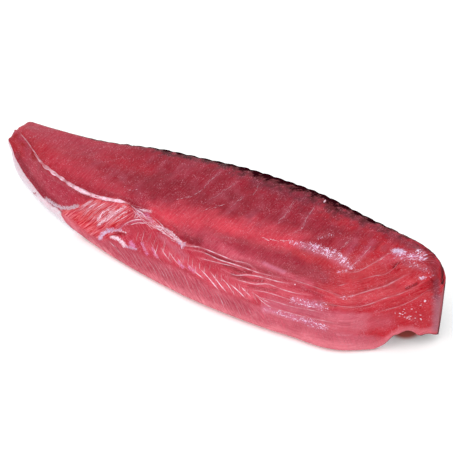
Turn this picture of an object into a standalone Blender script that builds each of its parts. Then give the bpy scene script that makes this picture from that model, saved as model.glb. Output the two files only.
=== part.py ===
"""Raw tuna loin, skin on, lying on its skin side. Metres, +Z up.

The tail end points to -X and the head end to +X. The face with the muscle
lines is at the front (-Y), the wide cut face is on top and the skin is at the
back and underneath. The origin is under the middle of the loin, on the table.
"""

import math

import bmesh
import bpy
import numpy as np

# Driving dimensions
LENGTH = 0.600
WIDTH = 0.160
HEIGHT = 0.082
GIRTH = 0.400
END_ROUNDING = 0.004
END_ROUNDING_LENGTH = 0.009

# Mesh density of the loft: stations crowd towards both ends
STATIONS = 108
END_CROWDING = 0.35

NODE_NAME = "tuna_loin"
FLESH_COLOUR = (0.376, 0.040, 0.055, 1.0)
FLESH_ROUGHNESS = 0.45

# Lines that run from the tail (0) to the head end (1). Each row has a share of LENGTH along the
# loin, then a share of WIDTH across it (front is negative), then a share of HEIGHT.
FOOT_LINE = (
    (0.000, 0.098, 0.205),
    (0.030, 0.024, 0.180),
    (0.060, -0.079, 0.150),
    (0.160, -0.287, 0.112),
    (0.260, -0.400, 0.062),
    (0.400, -0.504, 0.030),
    (0.600, -0.579, 0.030),
    (0.780, -0.536, 0.030),
    (0.880, -0.468, 0.030),
    (0.930, -0.320, 0.030),
    (1.000, -0.060, 0.030),
)
RIDGE_LINE = (
    (0.000, 0.180, 0.350),
    (0.060, 0.070, 0.440),
    (0.160, -0.180, 0.500),
    (0.260, -0.285, 0.540),
    (0.400, -0.290, 0.590),
    (0.600, -0.440, 0.620),
    (0.780, -0.390, 0.640),
    (0.880, -0.320, 0.680),
    (0.930, -0.190, 0.700),
    (1.000, -0.095, 0.700),
)
CREST_LINE = (
    (0.000, 0.230, 0.360),
    (0.060, 0.120, 0.470),
    (0.160, -0.070, 0.570),
    (0.260, -0.180, 0.660),
    (0.400, -0.290, 0.760),
    (0.600, -0.375, 0.850),
    (0.780, -0.220, 0.920),
    (0.880, -0.100, 0.950),
    (0.930, 0.010, 0.940),
    (1.000, -0.060, 0.890),
)
RIM_LINE = (
    (0.000, 0.345, 0.330),
    (0.060, 0.300, 0.430),
    (0.160, 0.255, 0.570),
    (0.260, 0.262, 0.690),
    (0.400, 0.310, 0.838),
    (0.600, 0.350, 0.965),
    (0.780, 0.290, 0.995),
    (0.880, 0.222, 1.005),
    (0.930, 0.178, 1.010),
    (0.970, 0.105, 1.000),
    (1.000, 0.005, 0.945),
)

# Places round a section, as shares of a full turn, with the mesh steps that follow each one:
# foot, front swell, ridge, scoop, crest, top swell, rim, skin shoulder, skin side, back of the
# underside, middle of the underside, front of the underside
PLACES = (0.00, 0.10, 0.20, 0.25, 0.31, 0.44, 0.57, 0.64, 0.73, 0.81, 0.90, 0.96)
STEPS = (6, 6, 2, 3, 6, 6, 4, 4, 3, 4, 3, 3)
RIDGE_PLACE = PLACES[2]
RIM_PLACE = PLACES[6]
UNDERSIDE_MIDDLE = sum(STEPS[:10])

# Swells and hollows of a section, as shares of WIDTH and HEIGHT
FRONT_SWELL = 0.045
FRONT_SWELL_RISE = 0.020
SCOOP_DEPTH = 0.035
TOP_SWELL = 0.045
SHOULDER_OUT = 0.035
SHOULDER_HEIGHT = 0.74
SIDE_IN = 0.020
SIDE_HEIGHT = 0.30
UNDERSIDE_BACK = 0.24
UNDERSIDE_BACK_DIP = 0.02
UNDERSIDE_MIDDLE_SHARE = 0.42
UNDERSIDE_MIDDLE_DIP = 0.03
UNDERSIDE_FRONT = 0.12
UNDERSIDE_FRONT_RISE = 0.15
UNDERSIDE_FRONT_DIP = 0.01
FULL_SPAN = 0.99

# Relief of the flesh: heights and depths in metres, and bands as four edges, where the relief
# rises between the first two and dies away between the last two
TAIL_HOLLOW_DEPTH = 0.0032
TAIL_HOLLOW_START = (0.02, 0.08)
FRONT_BAND = (0.02, 0.05, 0.175, 0.195)
FLAP_RISE = 0.0026
FLAP_EDGE = (0.281, 0.118)
FLAP_EDGE_SLOPE = 0.467
FLAP_EDGE_DROP = (-0.008, 0.002)
FLAP_LIFT = (-0.004, 0.006)
FLAP_END = (0.34, 0.45)
CORD_RISE = 0.0016
CORD_WIDTH = 0.012
CORD_END = (0.50, 0.65)
SCALLOP_HEIGHT = 0.0009
SCALLOP_PITCH = 0.027
SCALLOP_SWAY = 1.3
SCALLOP_SWAY_RATE = 9.0
SCALLOP_WIDTH = 0.030
SCALLOP_BAND = (0.12, 0.30, 0.85, 0.95)
FLAT_FOOT = 0.010

# Soft waves all over: height, waves along the loin, waves round it and phase
WAVES = (
    (0.00055, 3.1, 2, 0.0),
    (0.00039, 5.3, -3, 1.0),
)

# Grooves between the muscle layers: a path of (share of LENGTH, share of a turn), width, depth
GROOVES = (
    (((0.411, 0.143), (0.541, 0.145), (0.622, 0.145), (0.694, 0.092), (0.779, 0.080)), 0.0050, 0.0012),
    (((0.744, 0.210), (0.860, 0.198), (0.930, 0.238), (0.962, 0.360), (0.957, 0.443)), 0.0050, 0.0013),
    (((0.762, 0.190), (0.842, 0.170), (0.890, 0.165), (0.940, 0.182), (0.982, 0.263)), 0.0050, 0.0013),
    (((0.862, 0.245), (0.905, 0.262), (0.928, 0.330), (0.915, 0.440)), 0.0050, 0.0012),
    (((0.966, 0.247), (0.978, 0.300)), 0.0040, 0.0030),
    (((0.906, 0.307), (0.914, 0.285)), 0.0040, 0.0026),
    (((0.372, 0.092), (0.406, 0.103)), 0.0045, 0.0028),
)

# Hollow between the loin's underside and the table, below the head end
HOLLOW_PROFILE = (
    (0.922, 0.0000),
    (0.934, 0.0055),
    (0.941, 0.0125),
    (0.946, 0.0172),
    (0.952, 0.0180),
    (0.958, 0.0208),
    (0.964, 0.0214),
    (0.968, 0.0200),
    (0.972, 0.0172),
    (0.976, 0.0132),
    (0.980, 0.0118),
    (0.984, 0.0128),
    (0.988, 0.0132),
    (0.992, 0.0125),
    (1.000, 0.0085),
)
HOLLOW_REACH = 0.045
HOLLOW_ROOF = 0.0135
HOLLOW_TOP = 0.034


def curve_through(stations, values, at):
    """A smooth curve through (stations, values), read at the given places."""
    stations = np.asarray(stations, float)
    values = np.asarray(values, float)
    at = np.clip(at, stations[0], stations[-1])
    steps = np.diff(stations)
    slopes = np.diff(values) / steps
    tangents = np.empty_like(values)
    tangents[0] = slopes[0]
    tangents[-1] = slopes[-1]
    weight = steps[:-1] / (steps[:-1] + steps[1:])
    tangents[1:-1] = slopes[:-1] * (1 - weight) + slopes[1:] * weight
    span = np.clip(np.searchsorted(stations, at, side="right") - 1, 0, len(steps) - 1)
    local = (at - stations[span]) / steps[span]
    square = local * local
    cube = square * local
    return (
        values[span] * (2 * cube - 3 * square + 1)
        + tangents[span] * steps[span] * (cube - 2 * square + local)
        + values[span + 1] * (3 * square - 2 * cube)
        + tangents[span + 1] * steps[span] * (cube - square)
    )


def ease(value, low, high):
    """Goes smoothly from 0 at low to 1 at high."""
    share = np.clip((value - low) / (high - low), 0.0, 1.0)
    return share * share * (3 - 2 * share)


def line_at(line, along):
    """The (across, up) places of a line at the given shares of the length."""
    table = np.array(line)
    across = curve_through(table[:, 0], table[:, 1], along) * WIDTH
    up = curve_through(table[:, 0], table[:, 2], along) * HEIGHT
    return np.stack([across, up], axis=-1)


def section_controls(along):
    """The twelve control points of each section, in the order of PLACES."""
    foot = line_at(FOOT_LINE, along)
    ridge = line_at(RIDGE_LINE, along)
    crest = line_at(CREST_LINE, along)
    rim = line_at(RIM_LINE, along)
    span = rim[:, 0] - foot[:, 0]
    size = np.clip(span / (WIDTH * FULL_SPAN), 0.0, 1.0)

    def point(across, up):
        return np.stack([across + 0 * size, up + 0 * size], axis=-1)

    front = (foot + ridge) / 2 + point(-FRONT_SWELL * WIDTH * size, FRONT_SWELL_RISE * HEIGHT * size)
    scoop = (ridge + crest) / 2 + point(0, -SCOOP_DEPTH * HEIGHT * size)
    top = (crest + rim) / 2 + point(0, TOP_SWELL * HEIGHT * size)
    shoulder = point(rim[:, 0] + SHOULDER_OUT * WIDTH * size, rim[:, 1] * SHOULDER_HEIGHT)
    side = point(rim[:, 0] - SIDE_IN * WIDTH * size, rim[:, 1] * SIDE_HEIGHT)
    under_back = point(rim[:, 0] - UNDERSIDE_BACK * span, -UNDERSIDE_BACK_DIP * HEIGHT)
    under_middle = point(foot[:, 0] + UNDERSIDE_MIDDLE_SHARE * span, -UNDERSIDE_MIDDLE_DIP * HEIGHT)
    front_height = foot[:, 1] * UNDERSIDE_FRONT_RISE - UNDERSIDE_FRONT_DIP * HEIGHT
    under_front = point(foot[:, 0] + UNDERSIDE_FRONT * span, front_height)
    corners = [foot, front, ridge, scoop, crest, top, rim]
    corners += [shoulder, side, under_back, under_middle, under_front]
    return np.stack(corners, axis=1)


def closed_sections(controls, places):
    """A closed smooth curve through each section's controls, read at the given places."""
    ring = np.concatenate([controls[:, -2:], controls, controls[:, :3]], axis=1)
    knots = np.concatenate([np.array(PLACES[-2:]) - 1, PLACES, np.array(PLACES[:3]) + 1])
    out = np.empty((len(controls), len(places), 2))
    for station in range(len(controls)):
        for axis in range(2):
            out[station, :, axis] = curve_through(knots, ring[station, :, axis], places)
    return out


def stations_along():
    """Shares of the length, closer together near both ends."""
    even = np.linspace(0.0, 1.0, STATIONS)
    return even - END_CROWDING * np.sin(2 * math.pi * even) / (2 * math.pi)


def places_round():
    """Shares of a turn, with STEPS even steps after each of the PLACES."""
    ends = list(PLACES[1:]) + [1.0]
    runs = [np.linspace(a, b, n, endpoint=False) for a, b, n in zip(PLACES, ends, STEPS)]
    return np.concatenate(runs)


def distance_to_path(along, around, path):
    """Distance in metres from each (along, around) place to a path laid on the surface."""
    nearest = np.full(np.broadcast(along, around).shape, np.inf)
    for (along_a, around_a), (along_b, around_b) in zip(path, path[1:]):
        step = np.array([(along_b - along_a) * LENGTH, (around_b - around_a) * GIRTH])
        offset_x = (along - along_a) * LENGTH
        offset_y = (around - around_a) * GIRTH
        share = np.clip((offset_x * step[0] + offset_y * step[1]) / (step @ step), 0.0, 1.0)
        nearest = np.minimum(nearest, np.hypot(offset_x - share * step[0], offset_y - share * step[1]))
    return nearest


def band(value, edges):
    """1 between the inner two of four edges, dying away to 0 at the outer two."""
    return ease(value, edges[0], edges[1]) * (1 - ease(value, edges[2], edges[3]))


def tail_relief(along, around):
    """The hollow strip at the front of the tail, the raised flap after it and the cord above them."""
    front = band(around, FRONT_BAND)
    past_edge = along - FLAP_EDGE[0] - (around - FLAP_EDGE[1]) * FLAP_EDGE_SLOPE
    hollow = front * ease(along, *TAIL_HOLLOW_START) * (1 - ease(past_edge, *FLAP_EDGE_DROP))
    flap = front * ease(past_edge, *FLAP_LIFT) * (1 - ease(along, *FLAP_END))
    cord = np.exp(-(((around - RIDGE_PLACE) / CORD_WIDTH) ** 2)) * (1 - ease(along, *CORD_END))
    return FLAP_RISE * flap + CORD_RISE * cord - TAIL_HOLLOW_DEPTH * hollow


def rim_scallops(along, around):
    """Small bites along the back edge of the top face."""
    sway = SCALLOP_SWAY * np.sin(SCALLOP_SWAY_RATE * along)
    scallop = np.abs(np.sin(math.pi * along / SCALLOP_PITCH + sway)) - 0.5
    near_rim = np.exp(-(((around - RIM_PLACE) / SCALLOP_WIDTH) ** 2))
    return SCALLOP_HEIGHT * scallop * near_rim * band(along, SCALLOP_BAND)


def relief(along, around):
    """Height of the flesh's relief above the smooth loft, in metres."""
    height = tail_relief(along, around) + rim_scallops(along, around)
    for rise, waves_along, waves_round, phase in WAVES:
        turn = 2 * math.pi * (waves_along * along + waves_round * around)
        height = height + rise * np.sin(turn + phase)
    for path, width, depth in GROOVES:
        height = height - depth * np.exp(-((distance_to_path(along, around, path) / (width / 2)) ** 2))
    return height


def outward(points):
    """Unit normals of each section, in its own plane."""
    step = np.roll(points, -1, axis=1) - np.roll(points, 1, axis=1)
    normals = np.stack([-step[..., 1], step[..., 0]], axis=-1)
    return normals / np.linalg.norm(normals, axis=-1, keepdims=True)


def rounded_ends(sections, along):
    """Draws the last few sections in towards their middles, so that the cut ends have round edges."""
    to_end = np.minimum(along, 1 - along) * LENGTH
    share = np.clip(1 - to_end / END_ROUNDING_LENGTH, 0.0, 1.0)
    inset = END_ROUNDING * (1 - np.sqrt(1 - share ** 2))
    low = sections.min(axis=1, keepdims=True)
    high = sections.max(axis=1, keepdims=True)
    middle = (low + high) / 2
    scale = 1 - np.minimum(inset[:, None, None] / ((high - low) / 2), 0.5)
    return middle + (sections - middle) * scale


def lift_hollow(sections, along):
    """Raises the underside below the head end, highest at its front edge."""
    stations, heights = np.array(HOLLOW_PROFILE).T
    height = np.where(along > stations[0], curve_through(stations, heights, along), 0.0)
    foot = line_at(FOOT_LINE, along)[:, 0]
    depth = sections[..., 0] - foot[:, None]
    lift = height[:, None] * (1 - ease(depth, HOLLOW_ROOF, HOLLOW_REACH))
    up = sections[..., 1]
    raised = lift + up * (1 - lift / HOLLOW_TOP)
    sections[..., 1] = np.where(up < HOLLOW_TOP, raised, up)
    return sections


def loin_points():
    """Grid of the loin's surface points, one row for each station."""
    along = stations_along()
    around = places_round()
    sections = closed_sections(section_controls(along), around)
    height = relief(along[:, None], around[None, :])
    height = height * ease(sections[..., 1], 0.0, FLAT_FOOT)
    sections = sections + outward(sections) * height[..., None]
    sections = rounded_ends(sections, along)
    sections[..., 1] = np.maximum(sections[..., 1], 0.0)
    sections = lift_hollow(sections, along)
    length = np.broadcast_to(((along - 0.5) * LENGTH)[:, None], sections.shape[:2])
    points = np.concatenate([length[..., None], sections], axis=-1)
    low = points.reshape(-1, 3).min(axis=0)
    high = points.reshape(-1, 3).max(axis=0)
    return points - np.array([(low[0] + high[0]) / 2, (low[1] + high[1]) / 2, low[2]])


def close_end(mesh, ring):
    """Fills an end section with strips that run from its front to its back."""
    count = len(ring)
    start = UNDERSIDE_MIDDLE
    for step in range(count // 2):
        corners = [
            ring[(start + step) % count],
            ring[(start + step + 1) % count],
            ring[(start - step - 1) % count],
            ring[(start - step) % count],
        ]
        mesh.faces.new(list(dict.fromkeys(corners)))


def loft(points):
    """One closed mesh through the rows of points, with both ends filled."""
    mesh = bmesh.new()
    rings = [[mesh.verts.new(point) for point in row] for row in points]
    for near, far in zip(rings, rings[1:]):
        for k in range(len(near)):
            after = (k + 1) % len(near)
            mesh.faces.new((near[k], near[after], far[after], far[k]))
    close_end(mesh, rings[0])
    close_end(mesh, rings[-1])
    bmesh.ops.recalc_face_normals(mesh, faces=mesh.faces)
    bmesh.ops.triangulate(mesh, faces=mesh.faces)
    return mesh


def flesh_material():
    """Moist dark pink flesh."""
    material = bpy.data.materials.new("tuna_flesh")
    material.use_nodes = True
    shader = material.node_tree.nodes["Principled BSDF"]
    shader.inputs["Base Color"].default_value = FLESH_COLOUR
    shader.inputs["Roughness"].default_value = FLESH_ROUGHNESS
    shader.inputs["Metallic"].default_value = 0.0
    return material


def make_loin(collection):
    """The whole loin: flesh and skin are one solid."""
    mesh = loft(loin_points())
    data = bpy.data.meshes.new(NODE_NAME)
    mesh.to_mesh(data)
    mesh.free()
    data.shade_smooth()
    data.materials.append(flesh_material())
    loin = bpy.data.objects.new(NODE_NAME, data)
    collection.objects.link(loin)
    return loin


def main():
    for item in list(bpy.data.objects):
        bpy.data.objects.remove(item, do_unlink=True)
    collection = bpy.data.collections.new("raw_tuna_loin")
    bpy.context.scene.collection.children.link(collection)
    make_loin(collection)


main()
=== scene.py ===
"""Raw tuna loin with its skin on: the looks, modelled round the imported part.

Metres, +Z up. The tail end points to -X and the head end to +X. The face with the muscle lines is at
the front (-Y), the wide cut face is on top, and the skin is at the back and underneath.
"""

import math
from functools import lru_cache

import bpy
import numpy as np
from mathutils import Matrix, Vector
from mathutils.kdtree import KDTree


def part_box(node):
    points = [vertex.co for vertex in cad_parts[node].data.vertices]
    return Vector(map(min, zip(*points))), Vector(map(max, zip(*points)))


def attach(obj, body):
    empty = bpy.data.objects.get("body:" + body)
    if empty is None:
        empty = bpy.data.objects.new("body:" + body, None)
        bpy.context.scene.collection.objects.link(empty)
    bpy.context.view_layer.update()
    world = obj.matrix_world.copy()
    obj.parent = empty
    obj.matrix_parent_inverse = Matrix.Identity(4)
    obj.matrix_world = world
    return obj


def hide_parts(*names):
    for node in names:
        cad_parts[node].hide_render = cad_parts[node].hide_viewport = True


bl_info = {
    "name": "Raw tuna loin",
    "version": (1, 0, 0),
    "blender": (4, 5, 0),
    "location": "View3D > Sidebar > Tuna loin",
    "description": "Builds the flesh, skin and connective tissue of a raw tuna loin",
    "category": "Add Mesh",
}

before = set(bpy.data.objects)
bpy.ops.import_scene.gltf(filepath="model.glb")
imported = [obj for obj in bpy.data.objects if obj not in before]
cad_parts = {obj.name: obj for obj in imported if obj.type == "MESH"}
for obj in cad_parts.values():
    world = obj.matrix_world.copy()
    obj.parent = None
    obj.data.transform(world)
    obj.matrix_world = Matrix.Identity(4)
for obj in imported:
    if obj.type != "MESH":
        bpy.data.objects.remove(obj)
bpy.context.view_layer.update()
NODE = "tuna_loin"
BODY = "root"

# Driving dimensions of the loin, as the part has them
LENGTH = 0.600
WIDTH = 0.160
HEIGHT = 0.082
GIRTH = 0.400
END_ROUNDING = 0.004
END_ROUNDING_LENGTH = 0.009
END_CROWDING = 0.35

# Lines that run from the tail (0) to the head end (1). Each row has a share of LENGTH along the
# loin, then a share of WIDTH across it (front is negative), then a share of HEIGHT.
FOOT_LINE = (
    (0.000, 0.098, 0.205),
    (0.030, 0.024, 0.180),
    (0.060, -0.079, 0.150),
    (0.160, -0.287, 0.112),
    (0.260, -0.400, 0.062),
    (0.400, -0.504, 0.030),
    (0.600, -0.579, 0.030),
    (0.780, -0.536, 0.030),
    (0.880, -0.468, 0.030),
    (0.930, -0.320, 0.030),
    (1.000, -0.060, 0.030),
)
RIDGE_LINE = (
    (0.000, 0.180, 0.350),
    (0.060, 0.070, 0.440),
    (0.160, -0.180, 0.500),
    (0.260, -0.285, 0.540),
    (0.400, -0.290, 0.590),
    (0.600, -0.440, 0.620),
    (0.780, -0.390, 0.640),
    (0.880, -0.320, 0.680),
    (0.930, -0.190, 0.700),
    (1.000, -0.095, 0.700),
)
CREST_LINE = (
    (0.000, 0.230, 0.360),
    (0.060, 0.120, 0.470),
    (0.160, -0.070, 0.570),
    (0.260, -0.180, 0.660),
    (0.400, -0.290, 0.760),
    (0.600, -0.375, 0.850),
    (0.780, -0.220, 0.920),
    (0.880, -0.100, 0.950),
    (0.930, 0.010, 0.940),
    (1.000, -0.060, 0.890),
)
RIM_LINE = (
    (0.000, 0.345, 0.330),
    (0.060, 0.300, 0.430),
    (0.160, 0.255, 0.570),
    (0.260, 0.262, 0.690),
    (0.400, 0.310, 0.838),
    (0.600, 0.350, 0.965),
    (0.780, 0.290, 0.995),
    (0.880, 0.222, 1.005),
    (0.930, 0.178, 1.010),
    (0.970, 0.105, 1.000),
    (1.000, 0.005, 0.945),
)

# Places round a section, as shares of a full turn: foot, front swell, ridge, scoop, crest, top
# swell, rim, skin shoulder, skin side, back, middle and front of the underside
PLACES = (0.00, 0.10, 0.20, 0.25, 0.31, 0.44, 0.57, 0.64, 0.73, 0.81, 0.90, 0.96)
RIDGE_PLACE = PLACES[2]
RIM_PLACE = PLACES[6]

# Swells and hollows of a section, as shares of WIDTH and HEIGHT
FRONT_SWELL = 0.045
FRONT_SWELL_RISE = 0.020
SCOOP_DEPTH = 0.035
TOP_SWELL = 0.045
SHOULDER_OUT = 0.035
SHOULDER_HEIGHT = 0.74
SIDE_IN = 0.020
SIDE_HEIGHT = 0.30
UNDERSIDE_BACK = 0.24
UNDERSIDE_BACK_DIP = 0.02
UNDERSIDE_MIDDLE_SHARE = 0.42
UNDERSIDE_MIDDLE_DIP = 0.03
UNDERSIDE_FRONT = 0.12
UNDERSIDE_FRONT_RISE = 0.15
UNDERSIDE_FRONT_DIP = 0.01
FULL_SPAN = 0.99

# Relief that the part has: heights and depths in metres, and bands as four edges, where the relief
# rises between the first two and dies away between the last two
TAIL_HOLLOW_DEPTH = 0.0032
TAIL_HOLLOW_START = (0.02, 0.08)
FRONT_BAND = (0.02, 0.05, 0.175, 0.195)
FLAP_RISE = 0.0026
FLAP_EDGE = (0.281, 0.118)
FLAP_EDGE_SLOPE = 0.467
FLAP_EDGE_DROP = (-0.008, 0.002)
FLAP_LIFT = (-0.004, 0.006)
FLAP_END = (0.34, 0.45)
CORD_RISE = 0.0016
CORD_WIDTH = 0.012
CORD_END = (0.50, 0.65)
SCALLOP_HEIGHT = 0.0009
SCALLOP_PITCH = 0.027
SCALLOP_SWAY = 1.3
SCALLOP_SWAY_RATE = 9.0
SCALLOP_WIDTH = 0.030
SCALLOP_BAND = (0.12, 0.30, 0.85, 0.95)
FLAT_FOOT = 0.010
WAVES = (
    (0.00055, 3.1, 2, 0.0),
    (0.00039, 5.3, -3, 1.0),
)
GROOVES = (
    (((0.411, 0.143), (0.541, 0.145), (0.622, 0.145), (0.694, 0.092), (0.779, 0.080)), 0.0050, 0.0012),
    (((0.744, 0.210), (0.860, 0.198), (0.930, 0.238), (0.962, 0.360), (0.957, 0.443)), 0.0050, 0.0013),
    (((0.762, 0.190), (0.842, 0.170), (0.890, 0.165), (0.940, 0.182), (0.982, 0.263)), 0.0050, 0.0013),
    (((0.862, 0.245), (0.905, 0.262), (0.928, 0.330), (0.915, 0.440)), 0.0050, 0.0012),
    (((0.966, 0.247), (0.978, 0.300)), 0.0040, 0.0030),
    (((0.906, 0.307), (0.914, 0.285)), 0.0040, 0.0026),
    (((0.372, 0.092), (0.406, 0.103)), 0.0045, 0.0028),
)
HOLLOW_PROFILE = (
    (0.922, 0.0000),
    (0.934, 0.0055),
    (0.941, 0.0125),
    (0.946, 0.0172),
    (0.952, 0.0180),
    (0.958, 0.0208),
    (0.964, 0.0214),
    (0.968, 0.0200),
    (0.972, 0.0172),
    (0.976, 0.0132),
    (0.980, 0.0118),
    (0.984, 0.0128),
    (0.988, 0.0132),
    (0.992, 0.0125),
    (1.000, 0.0085),
)
HOLLOW_REACH = 0.045
HOLLOW_ROOF = 0.0135
HOLLOW_TOP = 0.034

# The view of the photo, which is 453 pixels square
PHOTO_SIDE = 453
SENSOR = 36.0
VIEW_AZIMUTH = math.radians(34.0)
VIEW_ELEVATION = math.radians(36.0)
VIEW_DISTANCE = 1.50
VIEW_LENS = 108.0
VIEW_AIM = (0.0348, 0.0182, 0.034)

# Density of the meshes: the flesh's cut faces are fine, what lies under the skin is coarse
FLESH_STATIONS = 535
FLESH_STEPS = (28, 28, 14, 16, 38, 36, 4, 4, 3, 4, 3, 2)
CUT_COLUMNS = sum(FLESH_STEPS[:6]) + 1
CAP_RINGS = 5
SKIN_STATIONS = 420
SKIN_COLUMNS = 64
STRAND_SIDES = 6
STRAND_STEP = 1.1

# Skin: a thin sheet that starts just over the rim and thins out at its edges
SKIN_THICKNESS = 0.0011
SKIN_PROUD = 0.0003
SKIN_RAGGED = 0.006
SKIN_RIM_OVERLAP = 0.006
SKIN_EDGE_SHARE = 0.03
SKIN_THINNEST = 0.12
SKIN_LEAST = 0.0002
CUT_EDGE = (0.90, 1.0)
RIM_EDGE = (0.06, 0.20)
UNDER_SKIN = (0.575, 0.590, 0.965, 0.980)
BELLY_FROM = 0.80
BELLY_TO = 0.99
LOWEST_FLESH = 0.0003
HOLLOW_START = (0.922, 0.940)
HOLLOW_AROUND = (0.84, 0.92)

# Fine relief of the cut faces: heights and depths in metres, reaches in the photo's pixels
LAYER_STEP = 0.0006
LAYER_EDGE = 0.7
LAYER_REACH = 6.0
FAN_DEPTH = 0.0004
FAN_HALF_WIDTH = 1.3
SLIT_DEPTH = 0.0016
GAP_DEPTH = 0.0009
GAP_HALF_WIDTH = 0.6
FLAP_ACROSS = (0.535, 0.845)
FLAP_FIBRE_HEIGHT = 0.00045
FLAP_FIBRE_STRETCH = 7.0
FLAP_FIBRE_WIDTH = 2.1
FLAP_SOFTNESS = 2.0
CRAG_HEIGHT = 0.0006
CRAG_REACH = 0.008
CRAG_START = (0.1, 0.2)
LUMP_HEIGHT = 0.00025
UNDER_SKIN_SHARE = 1.3

# Shares of a line that fade at each of its ends, and of a blot's reach that is full
LINE_FADE = 0.12
BLOT_CORE = 0.25

# Uneven surfaces and edges: the strength of each layer of lumps, and their measure in metres
CRAGS = ((1.0, 0.0042), (0.6, 0.0021))
LUMPS = ((1.0, 0.0120), (0.5, 0.0034))
WASH_RAGS = ((0.30, 0.011), (0.20, 0.004))
RIM_RAGS = ((0.45, 0.006), (0.35, 0.0024))
SKIN_RAGS = ((0.6, 0.007), (0.4, 0.0025))
SKIN_TEARS = ((0.6, 0.011), (0.4, 0.004))

# Zones of colour, as shares of the length or of a turn: where each starts and where it is full, or
# where it starts to fade and where it ends
TAIL_RED_END = (0.12, 0.36)
PAST_TAIL = (0.25, 0.31)
HEAD_RED_START = (0.74, 0.88)
HEAD_RED_SWAY = 0.012
HEAD_RED_LUMP = 0.030
FRONT_END = (0.185, 0.215)
FAN_RED_END = (0.80, 0.93)
LOW_PINK_END = (0.90, 0.96)
STRIPES_END = (0.58, 0.74)
TOP_START = (0.30, 0.36)
TOP_BANDS_START = (0.10, 0.30)

# Strengths of what is painted on the flesh, with reaches in the photo's pixels
SEAM_EDGE = (-2.0, 3.0)
TOP_BANDS = 0.45
TOP_BAND_TURN = 4.0
TOP_BAND_WIDTHS = (7.0, 5.0)
TOP_BAND_STRETCH = 4.0
TOP_BAND_BROAD = 0.6
TOP_BAND_EDGE = (0.05, 1.0)
SEAM_STRIPES = 0.40
SEAM_STRIPE_PITCH = 3.9
SEAM_STRIPE_SWAY = 0.35
SEAM_STRIPE_LUMP = 0.012
SEAM_STRIPE_EDGE = (-0.2, 0.9)
FLAP_EDGE_SOFTNESS = 3.0
FLAP_SHRED_STRETCH = 6.0
FLAP_SHRED_WIDTH = 1.9
FLAP_CORAL = 0.35
FLAP_RED = 0.75
FLAP_RED_EDGE = (0.0, 0.6)
ARC_LIGHT = 1.30
ARC_LIGHT_REACH = 7.0
ARC_SHADE = 1.10
ARC_SHADE_REACH = 4.0
LINE_GLOW = 0.70
LINE_GLOW_EDGE = (0.3, 1.9)
GAP_CORE = 0.3

# The dark rim and the painted sheen inside it, in shares of the rim's width: how strong their colours are
# and how they fade inwards
RIM_SHEEN = 0.55
RIM_SHEEN_EDGE = (0.9, 2.6)
RIM_MAROON = 0.90
RIM_MAROON_EDGE = (0.9, 1.7)
RIM_BLACK = 1.05
RIM_FARTHEST = 0.03

# Crisp patches: their reach, how noise breaks their edges up, and how much they cover
PATCH_FRINGE = 1.7
PATCH_FILL = 0.50
PATCH_EDGE = 0.70
PATCH_SOFTNESS = 0.34
PATCH_OPACITY = 0.88
PATCH_SHOWS = (0.05, 0.45)

# Factors that draw out the noise of fibres, painted glint specks, patches and glints along the grain, and
# the scales
FIBRE_STRETCH = (0.12, 1.0, 1.0)
HATCH_STRETCH = (0.40, 1.0, 1.0)
PATCH_STRETCH = (0.6, 1.0, 1.0)
GLINT_STRETCH = (0.5, 1.0, 1.0)
SCALE_STRETCH = (0.62, 1.0, 1.0)

# Strands of tissue: unevenness of the width, and breaks and grit in the white, each as a strength
# and a lump in steps, then how thin and how pale their ends are, how far they stand out of the
# flesh, how many points bend them, how wet they are, and which part of the way the broken ones take
STRAND_UNEVEN = (0.30, 3.0)
LINE_BREAKS = (0.75, 4.0)
LINE_GRIT = (0.35, 1.6)
STRAND_TIP = 0.25
STRAND_PALE = 0.15
STRAND_LIFT = 0.15
STRAND_BEND_POINTS = 6
TISSUE_COAT = 0.15
SCATTER_BEGIN = (0.0, 0.45)
SCATTER_RUN = (0.30, 0.75)
SCATTER_BOW = 1.2
MILLIMETRE = 0.001

# Noises of the materials: the measure of their lumps in metres, then detail and roughness
BROAD_NOISE = (0.016, 3.0, 0.55)
CLOSE_NOISE = (0.0026, 2.0, 0.6)
FIBRE_NOISE = (0.0016, 2.0, 0.6)
HATCH_NOISE = (0.0010, 2.0, 0.7)
CLUSTER_NOISE = (0.012, 2.0, 0.6)
GLINT_CLUSTER_NOISE = (0.0042, 1.0, 0.5)
SPECK_NOISE = (0.0020, 3.0, 0.65)
SHRED_NOISE = (0.0015, 3.0, 0.65)
SKIN_BROAD_NOISE = (0.030, 3.0, 0.6)
SKIN_CLOSE_NOISE = (0.0030, 3.0, 0.65)
TISSUE_NOISE = (0.0018, 2.0, 0.6)
SCALE_SIZE = 0.0036

# Where a mask starts and where it is full, in the value that it comes from. Four numbers also give
# what the mask is at these two places.
CLUSTERS = (0.40, 0.68)
GLINT_SPECKS_SHOW = (0.60, 0.72)
GLINT_CLUSTERS = (0.34, 0.60, 0.45, 1.15)
GLINT_SHOWS = (0.02, 0.35)
RIM_SHOWS = (0.56, 0.84)
GLINT_TONES = (0.34, 0.54)
BELLY_SHOWS = (0.35, 1.0)
STEEL_SHOWS = (0.48, 0.72, 0.0, 0.35)
DARK_MOTTLE = (0.35, 0.75, 0.0, 0.5)
TORN_SHOWS = (0.30, 0.60)
SCALE_LINES = (0.0, 0.12)
TISSUE_SHOWS = (0.15, 0.55, 0.72, 1.05)
TISSUE_TONES = (0.35, 0.7)

# Weights of what the materials mix, and the depths of their bumps in metres
BROAD_SHARE = 0.55
STREAK_PALING = 0.5
CLOSE_RELIEF = 0.6
GLINT_SPECK_CROWDING = 0.08
GLINT_LEVEL = 0.68
GLINT_SPREADING = 0.22
GLINT_CRISPNESS = 9.0
RIM_SPECKS = 0.9
GLINT_OPACITY = 0.95
WET_SMOOTHING = 0.12
WET_COATING = 0.40
BELLY_UNEVEN = 0.35
BELLY_CLEARING = 0.85
SKIN_COAT_ROUGHNESS = 0.28
FLESH_BUMP = 0.0003
SKIN_BUMP = 0.00025
TISSUE_BUMP = 0.0001

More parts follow.
